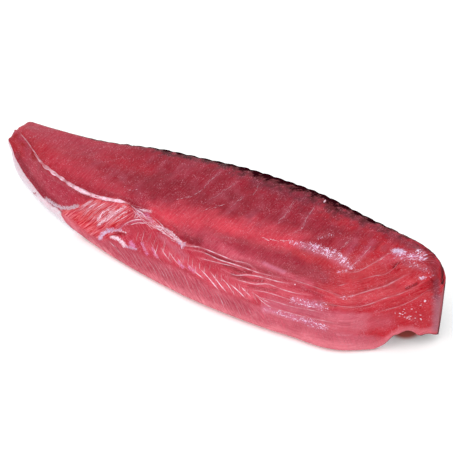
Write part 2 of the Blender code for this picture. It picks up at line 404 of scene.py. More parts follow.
# Cord: how its two strands twist, and each strand's width in millimetres and strength
BRAID_TURNS = 7
BRAID_SPREAD = 1.5
BRAID_WIDTH = 1.9
BRAID_STRENGTH = 0.90

# Torn flap: how many fibres it has, how they stray from their guides and how long they are in
# points, then the least and greatest width and strength
FLAP_FIBRES = 38
FLAP_FIBRE_STRAY = 0.35
FLAP_FIBRE_POINTS = 9
FLAP_FIBRE_LEAST = 4
FLAP_FIBRE_WIDTHS = (0.40, 0.85)
FLAP_FIBRE_STRENGTHS = (0.02, 0.65)

# Web of tissue at the cord's end: fibres along it and across it
WEB_COUNT = 9
WEB_POINTS = 12
WEB_RUN = 7
WEB_STRAY = 0.5
WEB_WIDTHS = (0.5, 0.9)
WEB_STRENGTHS = (0.35, 0.85)
WEB_CROSS = 24
WEB_CROSS_STRENGTHS = (0.25, 0.70)

# Fine lines of the fan and of the striped band along the front's lower half
FAN_COUNT = 34
FAN_WIDTHS = (0.7, 1.1)
FAN_STRENGTHS = (0.12, 0.42)
BAND_LINES = 58
BAND_LEAN = 0.024
BAND_REACH = (0.80, 1.0)
BAND_BEGIN = (0.0, 0.15)
BAND_LEAST = 0.3
BAND_BOW = (1.0, -0.8)
BAND_BOW_DEPTH = 1.6
BAND_WIDTHS = (0.6, 1.0)
BAND_STRENGTHS = (0.06, 0.24)
BAND_FADE = (205.0, 285.0)

# Flecks along the top's streaks, and the small glints at the head end, which are painted highlights built as
# pale strands
FLECK_STEP = 1.7
FLECK_SCATTER = 1.0
FLECK_HALF = (1.1, 2.4)
FLECK_WIDTH = (0.6, 1.1)
FLECK_STRENGTH = (0.5, 1.1)
GLINT_COUNT = 18
GLINT_MIDDLE = (409.0, 315.0)
GLINT_SPREAD = (14.0, 7.0)
GLINT_CROWD = 0.45
GLINT_RUN = (0.7, 1.6)
GLINT_RISE = (-0.5, 0.2)
GLINT_WIDTHS = (0.7, 1.1)
GLINT_STRENGTHS = (0.4, 0.9)

# Stage: the floor, the soft lamp's direction, and the painted shadow on the floor in the hollow under the
# head end, with its middle, where it ends and where it is full
FLOOR_SIZE = 8.0
FLOOR_DROP = 0.0002
FLOOR_ROUGHNESS = 0.9
FLOOR_SPECULAR = 0.1
SUN_AZIMUTH = math.radians(0.0)
SUN_ELEVATION = math.radians(64.0)
HOLLOW_SHADOW_MIDDLE = (0.262, 0.012, 0.0)
HOLLOW_SHADOW_EDGE = (0.021, 0.013)

# Where things lie in the photo, in its pixels. A stroke has a width in millimetres, a strength
# (1 is white tissue, 0 is flesh) and its path. A blot has a reach in pixels, an amount and its path.
# A strand of the cord has a width, a strength, the share that tapers at each end, how round it
# stands, a seed and its path.
CORD_STRANDS = (
    (1.2, 0.45, 0.30, 0.55, 101, ((18.4, 131.2), (27.2, 141.6), (34.4, 152), (41, 160.5))),
    (4.6, 0.50, 0.12, 0.25, 105, (
        (34, 153), (41, 162), (50, 170), (60, 177.5), (68, 183), (80, 190), (95, 196.4), (112, 200),
        (128, 203),
    )),
    (4.2, 0.95, 0.30, 0.55, 106, ((66, 181.6), (74, 186.6), (82, 191), (90, 194.4), (97, 197))),
    (4.6, 1.00, 0.30, 0.55, 104, (
        (92, 195), (100, 197.6), (108, 199.4), (116, 200.6), (124, 201.8), (131, 204.6),
    )),
)
CORD_BRAID = (
    (39, 160), (45, 166.5), (52, 172), (60, 177.4), (68, 183), (77, 188.5), (88, 193.6), (97, 197),
)
FASCIA = (
    (1.2, 0.90, ((129, 203), (133, 207), (137, 210), (142, 213), (146, 218), (150, 221))),
    (1.3, 0.90, ((137, 208), (143, 210), (150, 211))),
    (1.0, 0.85, ((150, 222), (155, 226), (161, 227), (166, 230), (170, 234))),
    (1.2, 1.00, ((160, 227), (166, 230), (171, 235), (176, 239), (181, 243))),
    (1.8, 1.00, ((178, 240), (182, 243), (184, 246))),
    (0.8, 0.90, ((181, 243), (182, 248), (181, 249))),
    (0.8, 0.90, ((182, 243), (187, 242))),
    (0.8, 0.70, ((138, 209), (136, 214), (134, 219))),
    (0.7, 0.70, ((142, 213), (139, 216), (136, 219))),
    (0.6, 0.65, ((134, 219), (140, 216), (146, 217))),
    (1.3, 0.75, ((148, 220), (135, 220), (124, 225), (120, 230))),
    (1.0, 0.60, ((152, 221), (145, 223), (137, 223), (128, 226))),
    (0.8, 0.55, ((148, 225), (153, 230))),
    (0.8, 0.55, ((151, 223), (158, 229), (164, 233))),
)
FLAP_STREAKS = (
    (1.4, 0.95, ((108, 210), (102, 213), (100, 218), (96, 222))),
    (1.0, 0.95, ((125, 206), (120, 209), (114, 214), (108, 220), (100, 224))),
    (0.8, 0.75, ((116, 207), (112, 210), (107, 214))),
    (0.8, 0.70, ((129, 209), (123, 213), (117, 217), (110, 222))),
    (0.6, 0.60, ((131, 213), (125, 217), (118, 221), (112, 225))),
    (0.6, 0.55, ((92, 207), (88, 211), (84, 216))),
)
FLAP_GUIDES = (
    ((94, 198), (84, 204), (75, 209)),
    ((103, 200), (92, 208), (80, 219)),
    ((120, 204), (104, 212), (92, 226)),
    ((133, 208), (116, 220), (100, 236)),
)
FAN_LINES = (
    (0.9, 0.38, ((142, 240), (143, 246), (147, 254))),
    (1.0, 0.47, ((150, 240), (154, 249), (158, 258), (163, 263))),
    (0.9, 0.42, ((160, 246), (166, 256), (172, 263))),
    (0.9, 0.42, ((168, 250), (174, 259), (182, 268))),
    (0.9, 0.42, ((176, 256), (182, 264), (188, 270))),
    (1.0, 0.51, ((186, 262), (192, 269), (200, 276), (206, 281))),
    (1.2, 0.81, ((199, 268), (205, 274), (211, 281), (220, 292))),
    (1.0, 0.64, ((209, 270), (215, 278), (221, 286), (228, 294))),
    (1.2, 0.77, ((220, 277), (227, 284), (234, 294))),
    (1.1, 0.72, ((229, 283), (238, 291), (248, 301))),
    (0.9, 0.51, ((240, 286), (248, 294), (252, 298))),
    (0.9, 0.47, ((252, 292), (262, 299), (272, 304))),
    (0.9, 0.42, ((256, 296), (264, 303), (274, 309))),
)
BAND_TOP = (
    (104, 238), (125, 247), (148, 257), (167, 264), (184, 271), (210, 286), (236, 298), (266, 308),
    (300, 320), (340, 332), (380, 336),
)
BAND_FOOT = (
    (118, 258), (140, 272), (164, 284), (186, 295), (204, 303), (232, 316), (260, 327), (290, 336),
    (322, 344), (350, 348), (380, 346),
)
FAN_START = ((140, 226), (152, 228), (170, 238), (190, 252), (215, 266), (240, 282), (262, 296))
FAN_END = ((134, 248), (148, 256), (168, 264), (190, 274), (216, 288), (240, 298), (268, 308))
WEB_LEFT = ((128, 203), (134, 212), (142, 221), (156, 230), (170, 240), (180, 247))
WEB_RIGHT = ((146, 208), (150, 213), (158, 221), (170, 231), (184, 242), (206, 249))
SHALLOW_LINES = (
    (1.1, 0.53, ((184, 244), (202, 248), (220, 255), (232, 260), (250, 265), (256, 270))),
    (1.0, 0.49, ((186, 249), (202, 252), (220, 260), (230, 263), (245, 268), (256, 272), (282, 278))),
    (0.9, 0.37, ((196, 257), (215, 262), (228, 265), (242, 269))),
    (1.1, 0.47, ((222, 269), (235, 275), (248, 275), (263, 277.5), (276, 281), (294, 284.5))),
    (1.0, 0.40, ((227, 277), (242, 281), (254, 284), (267, 284), (284, 290), (300, 294), (312, 295))),
    (0.9, 0.33, ((244, 289), (265, 292), (285, 298), (300, 303))),
    (0.8, 0.26, ((250, 295), (270, 300), (290, 306), (310, 310), (330, 314))),
    (0.8, 0.26, ((265, 305), (290, 313), (320, 320), (340, 324))),
)
HEAD_ARCS = (
    (1.0, 0.16, ((338, 273), (345, 272), (356, 272), (365, 268), (372, 264), (386, 255), (392, 250))),
    (1.0, 0.15, ((360, 280), (374, 276), (386, 274), (394, 268), (399, 260), (402, 254))),
    (1.1, 0.20, ((337, 286), (342, 285), (347, 283.5))),
    (1.1, 0.15, ((358, 294), (368, 291), (385, 286), (395, 281), (405, 276))),
    (1.2, 0.20, ((327, 289), (340, 298), (352, 296), (368, 291), (388, 285), (401, 278), (411, 273))),
    (1.1, 0.16, (
        (312, 300), (338, 306), (356, 307), (370, 304), (383, 299), (400, 294), (413, 288), (424, 282),
    )),
    (0.9, 0.12, ((370, 314), (385, 310), (400, 306), (415, 299), (430, 290), (437, 290))),
    (1.0, 0.14, ((283, 277), (306, 284), (326, 291), (344, 297))),
)
TOP_STREAKS = (
    (0.6, 0.35, ((219, 173), (211, 180), (204, 188), (195, 194))),
    (0.6, 0.30, ((235, 183), (227, 189), (218, 195), (211, 199))),
    (0.7, 0.45, ((191, 196), (184, 198), (178, 200))),
    (0.6, 0.60, ((223, 205), (214.5, 207.5), (202, 211))),
    (0.6, 0.35, ((243, 197), (236, 203), (232, 206))),
    (0.6, 0.30, ((294.6, 200.6), (287.6, 212), (278, 223))),
    (0.6, 0.40, ((314, 209), (306, 219), (301.6, 228.6), (290, 234))),
    (0.6, 0.25, ((258, 187), (254, 194))),
    (0.7, 0.65, ((262, 238), (274, 240.5), (289, 241))),
    (0.6, 0.45, ((350.6, 240), (341, 249.6), (336.6, 254))),
    (0.6, 0.45, ((370, 247), (363, 255), (355, 263.6))),
    (0.6, 0.40, ((392.6, 251), (380, 259.4), (366, 266.4))),
    (0.8, 0.45, ((30.4, 138.4), (37.6, 135.2))),
    (0.6, 0.35, ((40, 147), (44, 145))),
)
PALE_FLECKS = (
    (1.7, 0.65, ((323.6, 203), (325.8, 199.6))),
    (1.9, 0.95, ((294.2, 284.2), (296, 284.8))),
    (1.7, 0.90, ((301.4, 227.6), (302.6, 228.6))),
    (2.4, 0.95, ((424.2, 300), (426, 302))),
    (1.4, 0.90, ((415.4, 311.6), (416.8, 312.4))),
    (1.4, 0.75, ((394.4, 312.8), (395.8, 313.2))),
    (1.2, 0.75, ((408, 319.6), (411, 318.6))),
    (1.2, 0.70, ((414, 318.4), (416, 318))),
    (1.2, 0.70, ((419.6, 318.6), (421.8, 319.4))),
    (1.0, 0.60, ((124, 187), (125.4, 186.6))),
    (1.1, 0.60, ((129, 190.4), (131, 189.8))),
    (1.2, 0.60, ((135.4, 190), (137.6, 189))),
    (1.0, 0.50, ((118, 158.8), (119, 158.2))),
    (1.0, 0.50, ((196.4, 218), (197.6, 218))),
)
# Where the flesh is wet: it is smoother and glossier there, and the painted glints lie in it
WET_AND_GLINT_BLOTS = (
    (5.0, 0.75, ((291, 242), (300, 244), (309, 247))),
    (3.5, 0.85, ((309, 244), (316, 248))),
    (7.5, 1.00, ((316, 248), (325, 251), (333, 255))),
    (7.5, 1.00, ((331, 252), (338, 256), (345, 262))),
    (5.0, 0.85, ((345, 263), (352, 267))),
    (4.0, 0.60, ((319, 237), (326, 236), (332, 235))),
    (2.6, 0.90, ((338, 272), (347, 271))),
    (2.2, 0.80, ((354, 271), (358, 271))),
    (3.0, 0.80, ((336, 296), (345, 298))),
    (2.4, 0.70, ((349, 296), (354, 296))),
    (4.0, 1.00, ((393, 250), (402, 254))),
    (7.5, 1.00, ((402, 255), (412, 256), (424, 257))),
    (4.0, 0.80, ((418, 250), (425, 254))),
    (5.0, 0.45, ((404, 260), (412, 266))),
    (5.0, 0.50, ((415, 264), (423, 268), (430, 272))),
    (2.6, 0.90, ((420, 278), (425, 277))),
    (2.0, 0.90, ((430, 276.4), (433, 275))),
    (6.5, 0.80, ((293, 300), (304, 303), (314, 305), (325, 306))),
    (3.0, 0.60, ((264, 309), (272, 311))),
    (4.5, 0.85, ((275, 312), (290, 316))),
    (5.0, 0.85, ((292, 317), (306, 321))),
    (6.5, 0.85, ((306, 321), (316, 325), (325, 328))),
    (5.0, 0.45, ((152, 222), (166, 232), (178, 242))),
)

# Washes of colour on the flesh, later ones over earlier ones: a colour's name, its amount, how far it
# reaches and its path. Some are painted light, shade and sheen: the lit crest, shade in the scoop and along
# the tail's skin edge, and wet sheen.
WASHES = (
    ("dull_rose", 0.75, 13, ((34, 126), (60, 136), (100, 147), (118, 150))),
    ("top_red", 0.50, 11, ((78, 151), (100, 154), (128, 159), (150, 163))),
    ("warm_rose", 0.60, 15, ((58, 160), (80, 172), (100, 183), (122, 193))),
    ("tip_red", 0.80, 9, ((12, 141), (16, 147), (20, 155))),
    ("dusk_red", 0.60, 17, ((146, 179), (166, 184), (188, 187))),
    ("dull_rose", 0.45, 11, ((142, 201), (158, 203), (176, 204))),
    ("streak_mauve", 0.45, 5, ((220, 172), (211, 180), (203, 187), (194, 193))),
    ("streak_mauve", 0.40, 5, ((236, 183), (227, 190), (217, 196), (209, 201))),
    ("streak_mauve", 0.40, 5, ((243, 196), (235, 203), (232, 208), (226, 214))),
    ("streak_mauve", 0.30, 6, ((262, 204), (255, 212), (250, 220))),
    ("streak_mauve", 0.40, 5, ((290, 206), (285, 214), (281, 221), (274, 225))),
    ("streak_mauve", 0.40, 5, ((319, 206), (311, 213), (304, 218), (304, 225))),
    ("dusk_red", 0.45, 12, ((332, 228), (350, 232), (372, 238))),
    ("head_red", 0.50, 10, ((320, 212), (340, 222), (352, 226))),
    ("purple_shade", 0.55, 7, ((254, 181), (264, 184), (282, 191), (300, 196), (314, 199))),
    # Bright band along the crest: partly the flesh's own tone, partly painted light
    ("crest_lit_red", 0.75, 19, ((154, 213), (170, 217), (190, 217), (210, 221), (232, 227))),
    ("crest_lit_red", 0.80, 15, ((224, 226), (250, 233), (270, 239), (294, 244))),
    ("crest_lit_red", 0.40, 14, ((262, 226), (285, 232), (305, 237))),
    # Painted shade in the scoop below the crest, with a mauve sheen on its dull band
    ("scoop_shade_sheen", 0.75, 9, ((184, 230), (203, 233), (222, 240), (238, 251), (254, 257))),
    ("scoop_rose", 0.85, 7, ((222, 247), (240, 257), (258, 263), (276, 270), (296, 279), (310, 284))),
    ("scoop_deep_shade", 0.85, 9, ((228, 240), (246, 247), (264, 254), (286, 263), (306, 271), (324, 278))),
    ("scoop_deep_shade", 0.60, 7, ((262, 250), (280, 253), (296, 258))),
    ("head_red", 0.85, 9, ((296, 252), (312, 258), (330, 262), (344, 270))),
    ("purple_shade", 0.20, 5, ((192, 240), (203, 243), (214, 249))),
    ("fan_red", 0.70, 12, ((134, 228), (150, 236), (166, 250))),
    ("fan_pink", 0.75, 9, ((150, 246), (176, 258), (200, 272), (228, 288), (250, 296))),
    ("flap_coral", 0.80, 7, ((98, 203), (112, 203), (126, 206))),
    ("flap_coral", 0.70, 8, ((70, 214), (84, 226), (98, 234))),
    ("flap_red", 0.85, 5, ((84, 217), (92, 214), (100, 208))),
    ("flap_red", 0.90, 4, ((92, 226), (97, 221), (104, 218))),
    ("flap_red", 0.85, 3.5, ((106, 215), (112, 211), (119, 208))),
    ("flap_red", 0.70, 4, ((104, 228), (112, 222), (120, 216))),
    ("low_mauve", 0.75, 12, ((104, 246), (124, 255), (148, 266), (176, 280))),
    ("low_mauve", 0.55, 10, ((186, 284), (206, 293), (228, 303), (246, 308))),
    ("low_pink", 0.60, 14, ((262, 314), (290, 322), (320, 330), (350, 334))),
    ("rose_mauve", 0.60, 12, ((270, 303), (300, 310), (330, 317), (352, 318))),
    ("low_pink", 0.60, 13, ((345, 322), (366, 324), (388, 322))),
    ("head_rose", 0.75, 9, ((330, 302), (352, 301), (372, 297), (394, 290), (410, 284))),
    ("head_rose", 0.55, 8, ((322, 290), (338, 291), (356, 285))),
    ("foot_pink", 0.75, 8, ((150, 277), (176, 290), (200, 302), (224, 313), (248, 322), (272, 330))),
    ("foot_pink", 0.75, 10, ((272, 330), (296, 338), (320, 343), (344, 348), (368, 349), (384, 345))),
    ("foot_pink", 0.60, 6, ((388, 338), (400, 331), (411, 329), (419, 333), (434, 330))),
    ("dusk_red", 0.60, 9, ((384, 234), (402, 243), (418, 250))),
    ("deep_red_and_shade", 0.60, 8, ((428, 256), (435, 266), (435, 278), (433, 290))),
    ("grey_mauve", 0.85, 9, ((438, 298), (437, 312), (436, 328))),
    ("streak_mauve", 0.60, 6, ((404, 262), (414, 266), (424, 270))),
    # Painted wet sheen
    ("wet_sheen_rose", 0.35, 7, ((300, 245), (322, 251), (336, 258), (348, 266))),
    ("wet_sheen_rose", 0.20, 6, ((356, 240), (350, 250), (344, 258))),
    ("wet_sheen_rose", 0.22, 6, ((372, 242), (366, 252), (356, 262))),
    ("wet_sheen_rose", 0.40, 6, ((396, 252), (408, 256), (422, 257))),
    ("wet_sheen_rose", 0.55, 6, ((294, 300), (308, 303), (320, 306))),
    ("wet_sheen_rose", 0.45, 5, ((264, 309), (284, 314), (304, 320), (324, 328))),
    ("wet_sheen_rose", 0.55, 4, ((264, 263), (274, 268), (284, 272))),
    ("rose_mauve", 0.50, 5, ((160, 236), (172, 246), (186, 256))),
    # Purple-grey with a painted sheen at the head end's edge
    ("rim_sheen_grey", 0.70, 6, ((437, 281), (436, 296))),
    ("foot_pink", 0.85, 5, ((90, 241), (99, 247), (110, 254))),
    ("foot_pink", 0.45, 7, ((176, 292), (200, 301), (226, 313))),
    ("low_pink", 0.75, 13, ((326, 320), (345, 325), (360, 322))),
    ("scoop_rose", 0.65, 9, ((206, 244), (222, 250), (236, 258))),
    # More painted shade and sheen in the scoop
    ("scoop_shade_sheen", 0.35, 9, ((250, 254), (264, 258), (280, 264))),
    ("fan_pink", 0.45, 12, ((222, 280), (240, 290), (262, 296))),
    ("scoop_rose", 0.50, 9, ((384, 258), (396, 258))),
    ("head_rose", 0.45, 8, ((330, 304), (352, 303), (372, 299), (394, 292))),
    ("foot_pink", 0.55, 5, ((112, 257), (130, 268), (150, 279), (176, 292))),
    # More of the crest's painted light
    ("crest_lit_red", 0.35, 13, ((158, 220), (176, 222), (196, 226))),
    ("fan_red", 0.85, 8, ((140, 234), (150, 240), (158, 247))),
    ("head_red", 0.55, 9, ((392, 292), (404, 290), (414, 286))),
    ("dull_rose", 0.55, 15, ((34, 131), (60, 143), (84, 150), (104, 153))),
    # Painted shade along the skin's edge at the tail, below the sunk strip
    ("tail_edge_shade", 0.75, 5.5, ((17, 154), (22.5, 164.5), (29, 175), (38, 187), (46, 195.5), (56, 203))),
    ("tail_red", 0.50, 12, ((108, 157), (130, 164), (150, 171))),
    ("dusk_red", 0.45, 10, ((154, 178), (170, 184))),
    ("dusk_red", 0.60, 9, ((230, 194), (246, 204))),
    ("dusk_red", 0.35, 12, ((196, 184), (204, 196))),
    ("foot_pink", 0.30, 12, ((326, 322), (345, 326), (362, 324))),
    ("fan_pink", 0.45, 10, ((250, 283), (275, 289), (300, 297))),
    # Purple-grey with a painted sheen along the rim at the head end
    ("rim_sheen_grey", 0.45, 5, ((345, 214), (365, 222), (385, 231), (402, 240), (420, 250))),
    ("flap_red", 0.75, 9, ((80, 214), (92, 212), (104, 210))),
    ("foot_pink", 0.65, 6, ((63, 212), (68, 220), (76, 229))),
)

# Crisper patches with ragged edges: a colour's name, its amount, how far it reaches and its path
PATCHES = (
    ("silver", 0.95, 3.2, ((100, 238), (103, 233.5), (107, 231), (112, 230))),
    ("silver", 0.80, 2.2, ((112, 230), (118, 230.5), (121, 229))),
    ("tissue", 1.00, 2.8, ((112, 236.6), (117, 238.4), (121, 241), (124.5, 245.6))),
    ("silver", 0.80, 2.0, ((124, 246), (130, 247.5), (136, 249.5))),
    ("film_and_glint_lilac", 0.90, 3.4, ((131, 243), (134, 247))),
    ("film_and_glint_lilac", 0.85, 2.2, ((142, 243), (144, 248), (147, 254))),
    ("film_and_glint_lilac", 0.80, 2.0, ((152, 248), (155, 254), (158, 258))),
    ("film_and_glint_lilac", 0.85, 2.4, ((178.6, 261.6), (180.4, 264), (183, 267))),
    ("film_and_glint_lilac", 0.85, 2.6, ((189, 266.6), (191, 268.6), (195, 271.6))),
    ("silver", 1.00, 3.4, ((394, 251.5), (398, 250.4), (402, 251.6))),
    ("silver", 0.55, 2.4, ((398, 252), (396.4, 255), (394, 258))),
    ("silver", 0.50, 2.6, ((417, 250), (424, 251.6))),
    ("silver", 0.75, 2.6, ((420.6, 278.6), (424.4, 277.4))),
    ("silver", 0.50, 2.0, ((430.6, 276.6), (433, 275.2))),
    ("silver", 0.35, 3.5, ((126, 188), (133, 191), (139, 189.6))),
    ("film_and_glint_lilac", 0.70, 2.6, ((137, 209), (141, 212), (145, 215), (148, 218.6))),
    ("tissue", 0.85, 2.2, ((143, 210.4), (148, 211), (151, 211.6))),
    ("film_and_glint_lilac", 0.80, 2.6, ((147, 213), (149, 218), (152, 221))),
    ("silver", 0.75, 2.2, ((136, 213), (139, 215), (142, 214))),
    ("film_and_glint_lilac", 0.60, 2.0, ((120, 230), (123, 225.6), (129, 222.4), (136, 220.6))),
    ("film_and_glint_lilac", 0.50, 2.0, ((136, 221), (144, 221.6), (150, 221))),
    ("tissue", 0.85, 2.0, ((154, 227), (161, 228), (167, 229.6), (172, 233))),
    ("tissue", 0.95, 2.4, ((172, 233.6), (176, 238), (181, 242.6))),
    ("silver", 0.95, 3.0, ((178, 240.6), (181, 243.4), (184, 244.6))),
    ("silver", 0.80, 1.8, ((181, 244), (182, 248))),
    ("silver_rose", 0.95, 2.8, ((46, 199), (54, 204.5), (62, 208), (70, 208), (77, 206))),
    ("tissue", 0.85, 1.9, ((125, 206.5), (115, 212.5), (105, 220), (98, 225))),
    ("tissue", 0.75, 1.7, ((109, 209), (102, 213.6), (97, 220))),
    ("tissue", 0.60, 1.5, ((130, 210), (120, 216.5), (111, 223))),
    ("blood", 0.85, 1.5, ((111, 235), (118, 233.8), (126, 234.6))),
    ("tissue", 0.70, 1.4, ((111, 231.6), (118, 230.8), (126, 232.4))),
    # Painted shade in two slits at the head end, with pale tissue on their edges
    ("deep_red_and_shade", 0.95, 1.7, ((393.6, 267.4), (399.2, 261.8))),
    ("tissue_rosy", 0.50, 1.2, ((391.8, 265.4), (396.6, 260.4))),
    ("deep_red_and_shade", 0.90, 1.6, ((406, 288.6), (411, 286), (417, 283.4))),
    ("tissue_rosy", 0.50, 1.2, ((405, 286.8), (410, 284.2), (415, 282))),
    ("blood", 1.00, 3.2, ((14.6, 137), (17, 135))),
    ("blood", 1.00, 3.5, ((22, 143.6), (23.4, 145))),
    ("blood", 1.00, 3.8, ((33, 153.6), (34.4, 158))),
    ("blood", 1.00, 3.5, ((43.2, 165.8), (45.2, 168))),
    ("blood", 0.60, 1.8, ((58.4, 178.6), (60, 179.6))),
    ("blood", 0.60, 1.8, ((71.4, 186.4), (73, 187.4))),
    ("rim_dark", 1.00, 2.6, ((442, 263), (442.5, 273), (442.5, 283))),
    ("rim_dark", 0.85, 3.4, ((163, 152.4), (170, 153.6))),
    ("rim_dark", 0.85, 3.4, ((180, 155.6), (190, 158))),
    ("rim_dark", 0.85, 3.2, ((203, 160.6), (208, 162))),
    ("rim_dark", 0.85, 3.6, ((220, 164), (228, 166))),
)

# Painted shade in the gaps between layers, which are sunk too: how deep, how wide and the path
GAPS = (
    (0.60, 2.0, ((206, 252.4), (214, 256.6), (224, 260), (234, 262.6))),
    (0.60, 2.2, ((222, 263.6), (230, 267), (240, 271.4), (251, 272.6))),
    (0.55, 2.4, ((232, 274.4), (241, 278), (252, 280.4), (263, 281))),
    (0.40, 2.2, ((248, 286), (262, 288.4), (276, 290.4))),
    (0.35, 2.2, ((318, 302.6), (326, 305), (336, 306))),
    (0.25, 2.0, ((326, 322), (338, 323.6), (350, 324))),
    (0.30, 2.4, ((303, 289), (312, 292), (322, 296))),
)

# Fibres: their directions in the photo in degrees down from its right, how strongly each zone shows
# them, the zones' outlines or edges, and where along the loin they change
TOP_GRAIN = -46.0
FLAP_GRAIN = -35.0
STRIP_GRAIN = 45.0
FAN_GRAIN = 60.0
BAND_GRAIN = 53.0
END_GRAIN = -18.0
TOP_FIBRES = 0.46
FLAP_FIBRES_SHOWN = 1.8
FAN_FIBRES = 0.55
BAND_FIBRES = 0.85
LAYER_FIBRES = 0.45
END_FIBRES = 0.30
GRAIN_TAIL_END = 0.30
GRAIN_BAND_START = 0.28
GRAIN_HEAD_START = 0.90
METRES_PER_PIXEL = 0.0013
FAN_ZONE = (
    (125, 222), (150, 222), (183, 245), (215, 262), (240, 285), (262, 303), (236, 297), (184, 270),
    (125, 247), (112, 240),
)
SCOOP_LINE = (
    (182, 243), (230, 262), (285, 272), (325, 270), (345, 268), (372, 262), (392, 250), (430, 245),
)
LAYER_GUIDE = (
    (160, 232), (200, 252), (240, 268), (280, 281), (320, 292), (345, 298), (370, 293), (400, 284),
    (430, 272),
)
FLAP_ZONE = (
    (95, 197), (128, 203), (137, 209), (133, 217), (122, 224), (117, 231), (108, 238), (100, 240),
    (85, 232), (75, 222), (63, 214), (62, 209), (77, 206),
)

# Slits in the flesh, as blots
SLITS = (
    (1.5, 0.6, ((110, 234.6), (117, 233.2), (125, 234.4))),
    (1.8, 1.0, ((394, 267), (399, 262))),
    (1.7, 1.0, ((406.6, 288.4), (411, 286), (417, 283.6))),
    (2.0, 0.5, ((33, 153.6), (34.4, 158))),
    (2.0, 0.5, ((43.2, 165.8), (45.2, 167.4))),
)

# Dull film on the skin beside the head end: its blot, and where it starts and is full along the loin
END_FILM = ((9.0, 1.0, ((441, 294), (441, 310), (440, 334))),)
END_FILM_FROM = (0.984, 0.998)

# Width in metres of the dark mottled flesh along the rim, by share of the length
DARK_RIM_WIDTH = (
    (0.000, 0.0000),
    (0.150, 0.0014),
    (0.200, 0.0034),
    (0.300, 0.0040),
    (0.370, 0.0080),
    (0.400, 0.0100),
    (0.434, 0.0078),
    (0.500, 0.0105),
    (0.535, 0.0122),
    (0.570, 0.0130),
    (0.635, 0.0155),
    (0.697, 0.0152),
    (0.755, 0.0136),
    (0.808, 0.0112),
    (0.855, 0.0092),
    (0.897, 0.0070),
    (0.934, 0.0052),
    (0.970, 0.0030),
    (1.000, 0.0000),
)

# Edge of the skin above the foot line at the front, as shares of a turn: it wraps up at the tail
SKIN_FRONT_EDGE = (
    (0.000, 0.040),
    (0.040, 0.046),
    (0.080, 0.056),
    (0.120, 0.061),
    (0.160, 0.053),
    (0.190, 0.043),
    (0.215, 0.049),
    (0.240, 0.056),
    (0.262, 0.048),
    (0.285, 0.006),
    (0.310, -0.016),
    (1.000, -0.018),
)


def srgb(red, green, blue):
    """A colour given in 0 to 255, as Blender's linear values."""
    shares = np.array([red, green, blue]) / 255
    linear = np.where(shares <= 0.04045, shares / 12.92, ((shares + 0.055) / 1.055) ** 2.4)
    return tuple(float(value) for value in linear)


def curve_through(stations, values, at):
    """A smooth curve through (stations, values), read at the given places."""
    stations = np.asarray(stations, float)
    values = np.asarray(values, float)
    at = np.clip(at, stations[0], stations[-1])
    steps = np.diff(stations)
    slopes = np.diff(values) / steps
    tangents = np.empty_like(values)
    tangents[0] = slopes[0]
    tangents[-1] = slopes[-1]
    weight = steps[:-1] / (steps[:-1] + steps[1:])
    tangents[1:-1] = slopes[:-1] * (1 - weight) + slopes[1:] * weight
    span = np.clip(np.searchsorted(stations, at, side="right") - 1, 0, len(steps) - 1)
    local = (at - stations[span]) / steps[span]
    square = local * local
    cube = square * local
    return (
        values[span] * (2 * cube - 3 * square + 1)
        + tangents[span] * steps[span] * (cube - 2 * square + local)
        + values[span + 1] * (3 * square - 2 * cube)
        + tangents[span + 1] * steps[span] * (cube - square)
    )


def ease(value, low, high):
    """Goes smoothly from 0 at low to 1 at high."""
    share = np.clip((value - low) / (high - low), 0.0, 1.0)
    return share * share * (3 - 2 * share)


def band(value, edges):
    """1 between the inner two of four edges, dying away to 0 at the outer two."""
    return ease(value, edges[0], edges[1]) * (1 - ease(value, edges[2], edges[3]))


def bell(value, middle, width):
    """1 at the middle, dying away over about the given width on both sides."""
    return np.exp(-(((value - middle) / width) ** 2))


def fading_ends(share, part):
    """1 along the middle of a line and 0 at its ends, over the given share of it at each end."""
    return ease(share, 0.0, part) * ease(1 - share, 0.0, part)


def cloud(across, up, lump, seed, size=97):
    """Smooth noise between -1 and 1 over two coordinates, with lumps of about the given measure."""
    lattice = np.random.default_rng(seed).uniform(-1.0, 1.0, (size, size))
    column, row = np.broadcast_arrays(np.asarray(across) / lump, np.asarray(up) / lump)
    left = np.floor(column).astype(int)
    low = np.floor(row).astype(int)
    share_x = ease(column - left, 0.0, 1.0)
    share_y = ease(row - low, 0.0, 1.0)

    def corner(step_x, step_y):
        return lattice[(low + step_y) % size, (left + step_x) % size]

    bottom = corner(0, 0) * (1 - share_x) + corner(1, 0) * share_x
    top = corner(0, 1) * (1 - share_x) + corner(1, 1) * share_x
    return bottom * (1 - share_y) + top * share_y


def clouds(across, up, layers, seed):
    """Clouds added up: each layer has a strength and the measure of its lumps."""
    return sum(
        strength * cloud(across, up, lump, seed + number)
        for number, (strength, lump) in enumerate(layers)
    )


# The loin's form, as the part has it


def line_at(line, along):
    """The (across, up) places of a line at the given shares of the length."""
    table = np.array(line)
    across = curve_through(table[:, 0], table[:, 1], along) * WIDTH
    up = curve_through(table[:, 0], table[:, 2], along) * HEIGHT
    return np.stack([across, up], axis=-1)


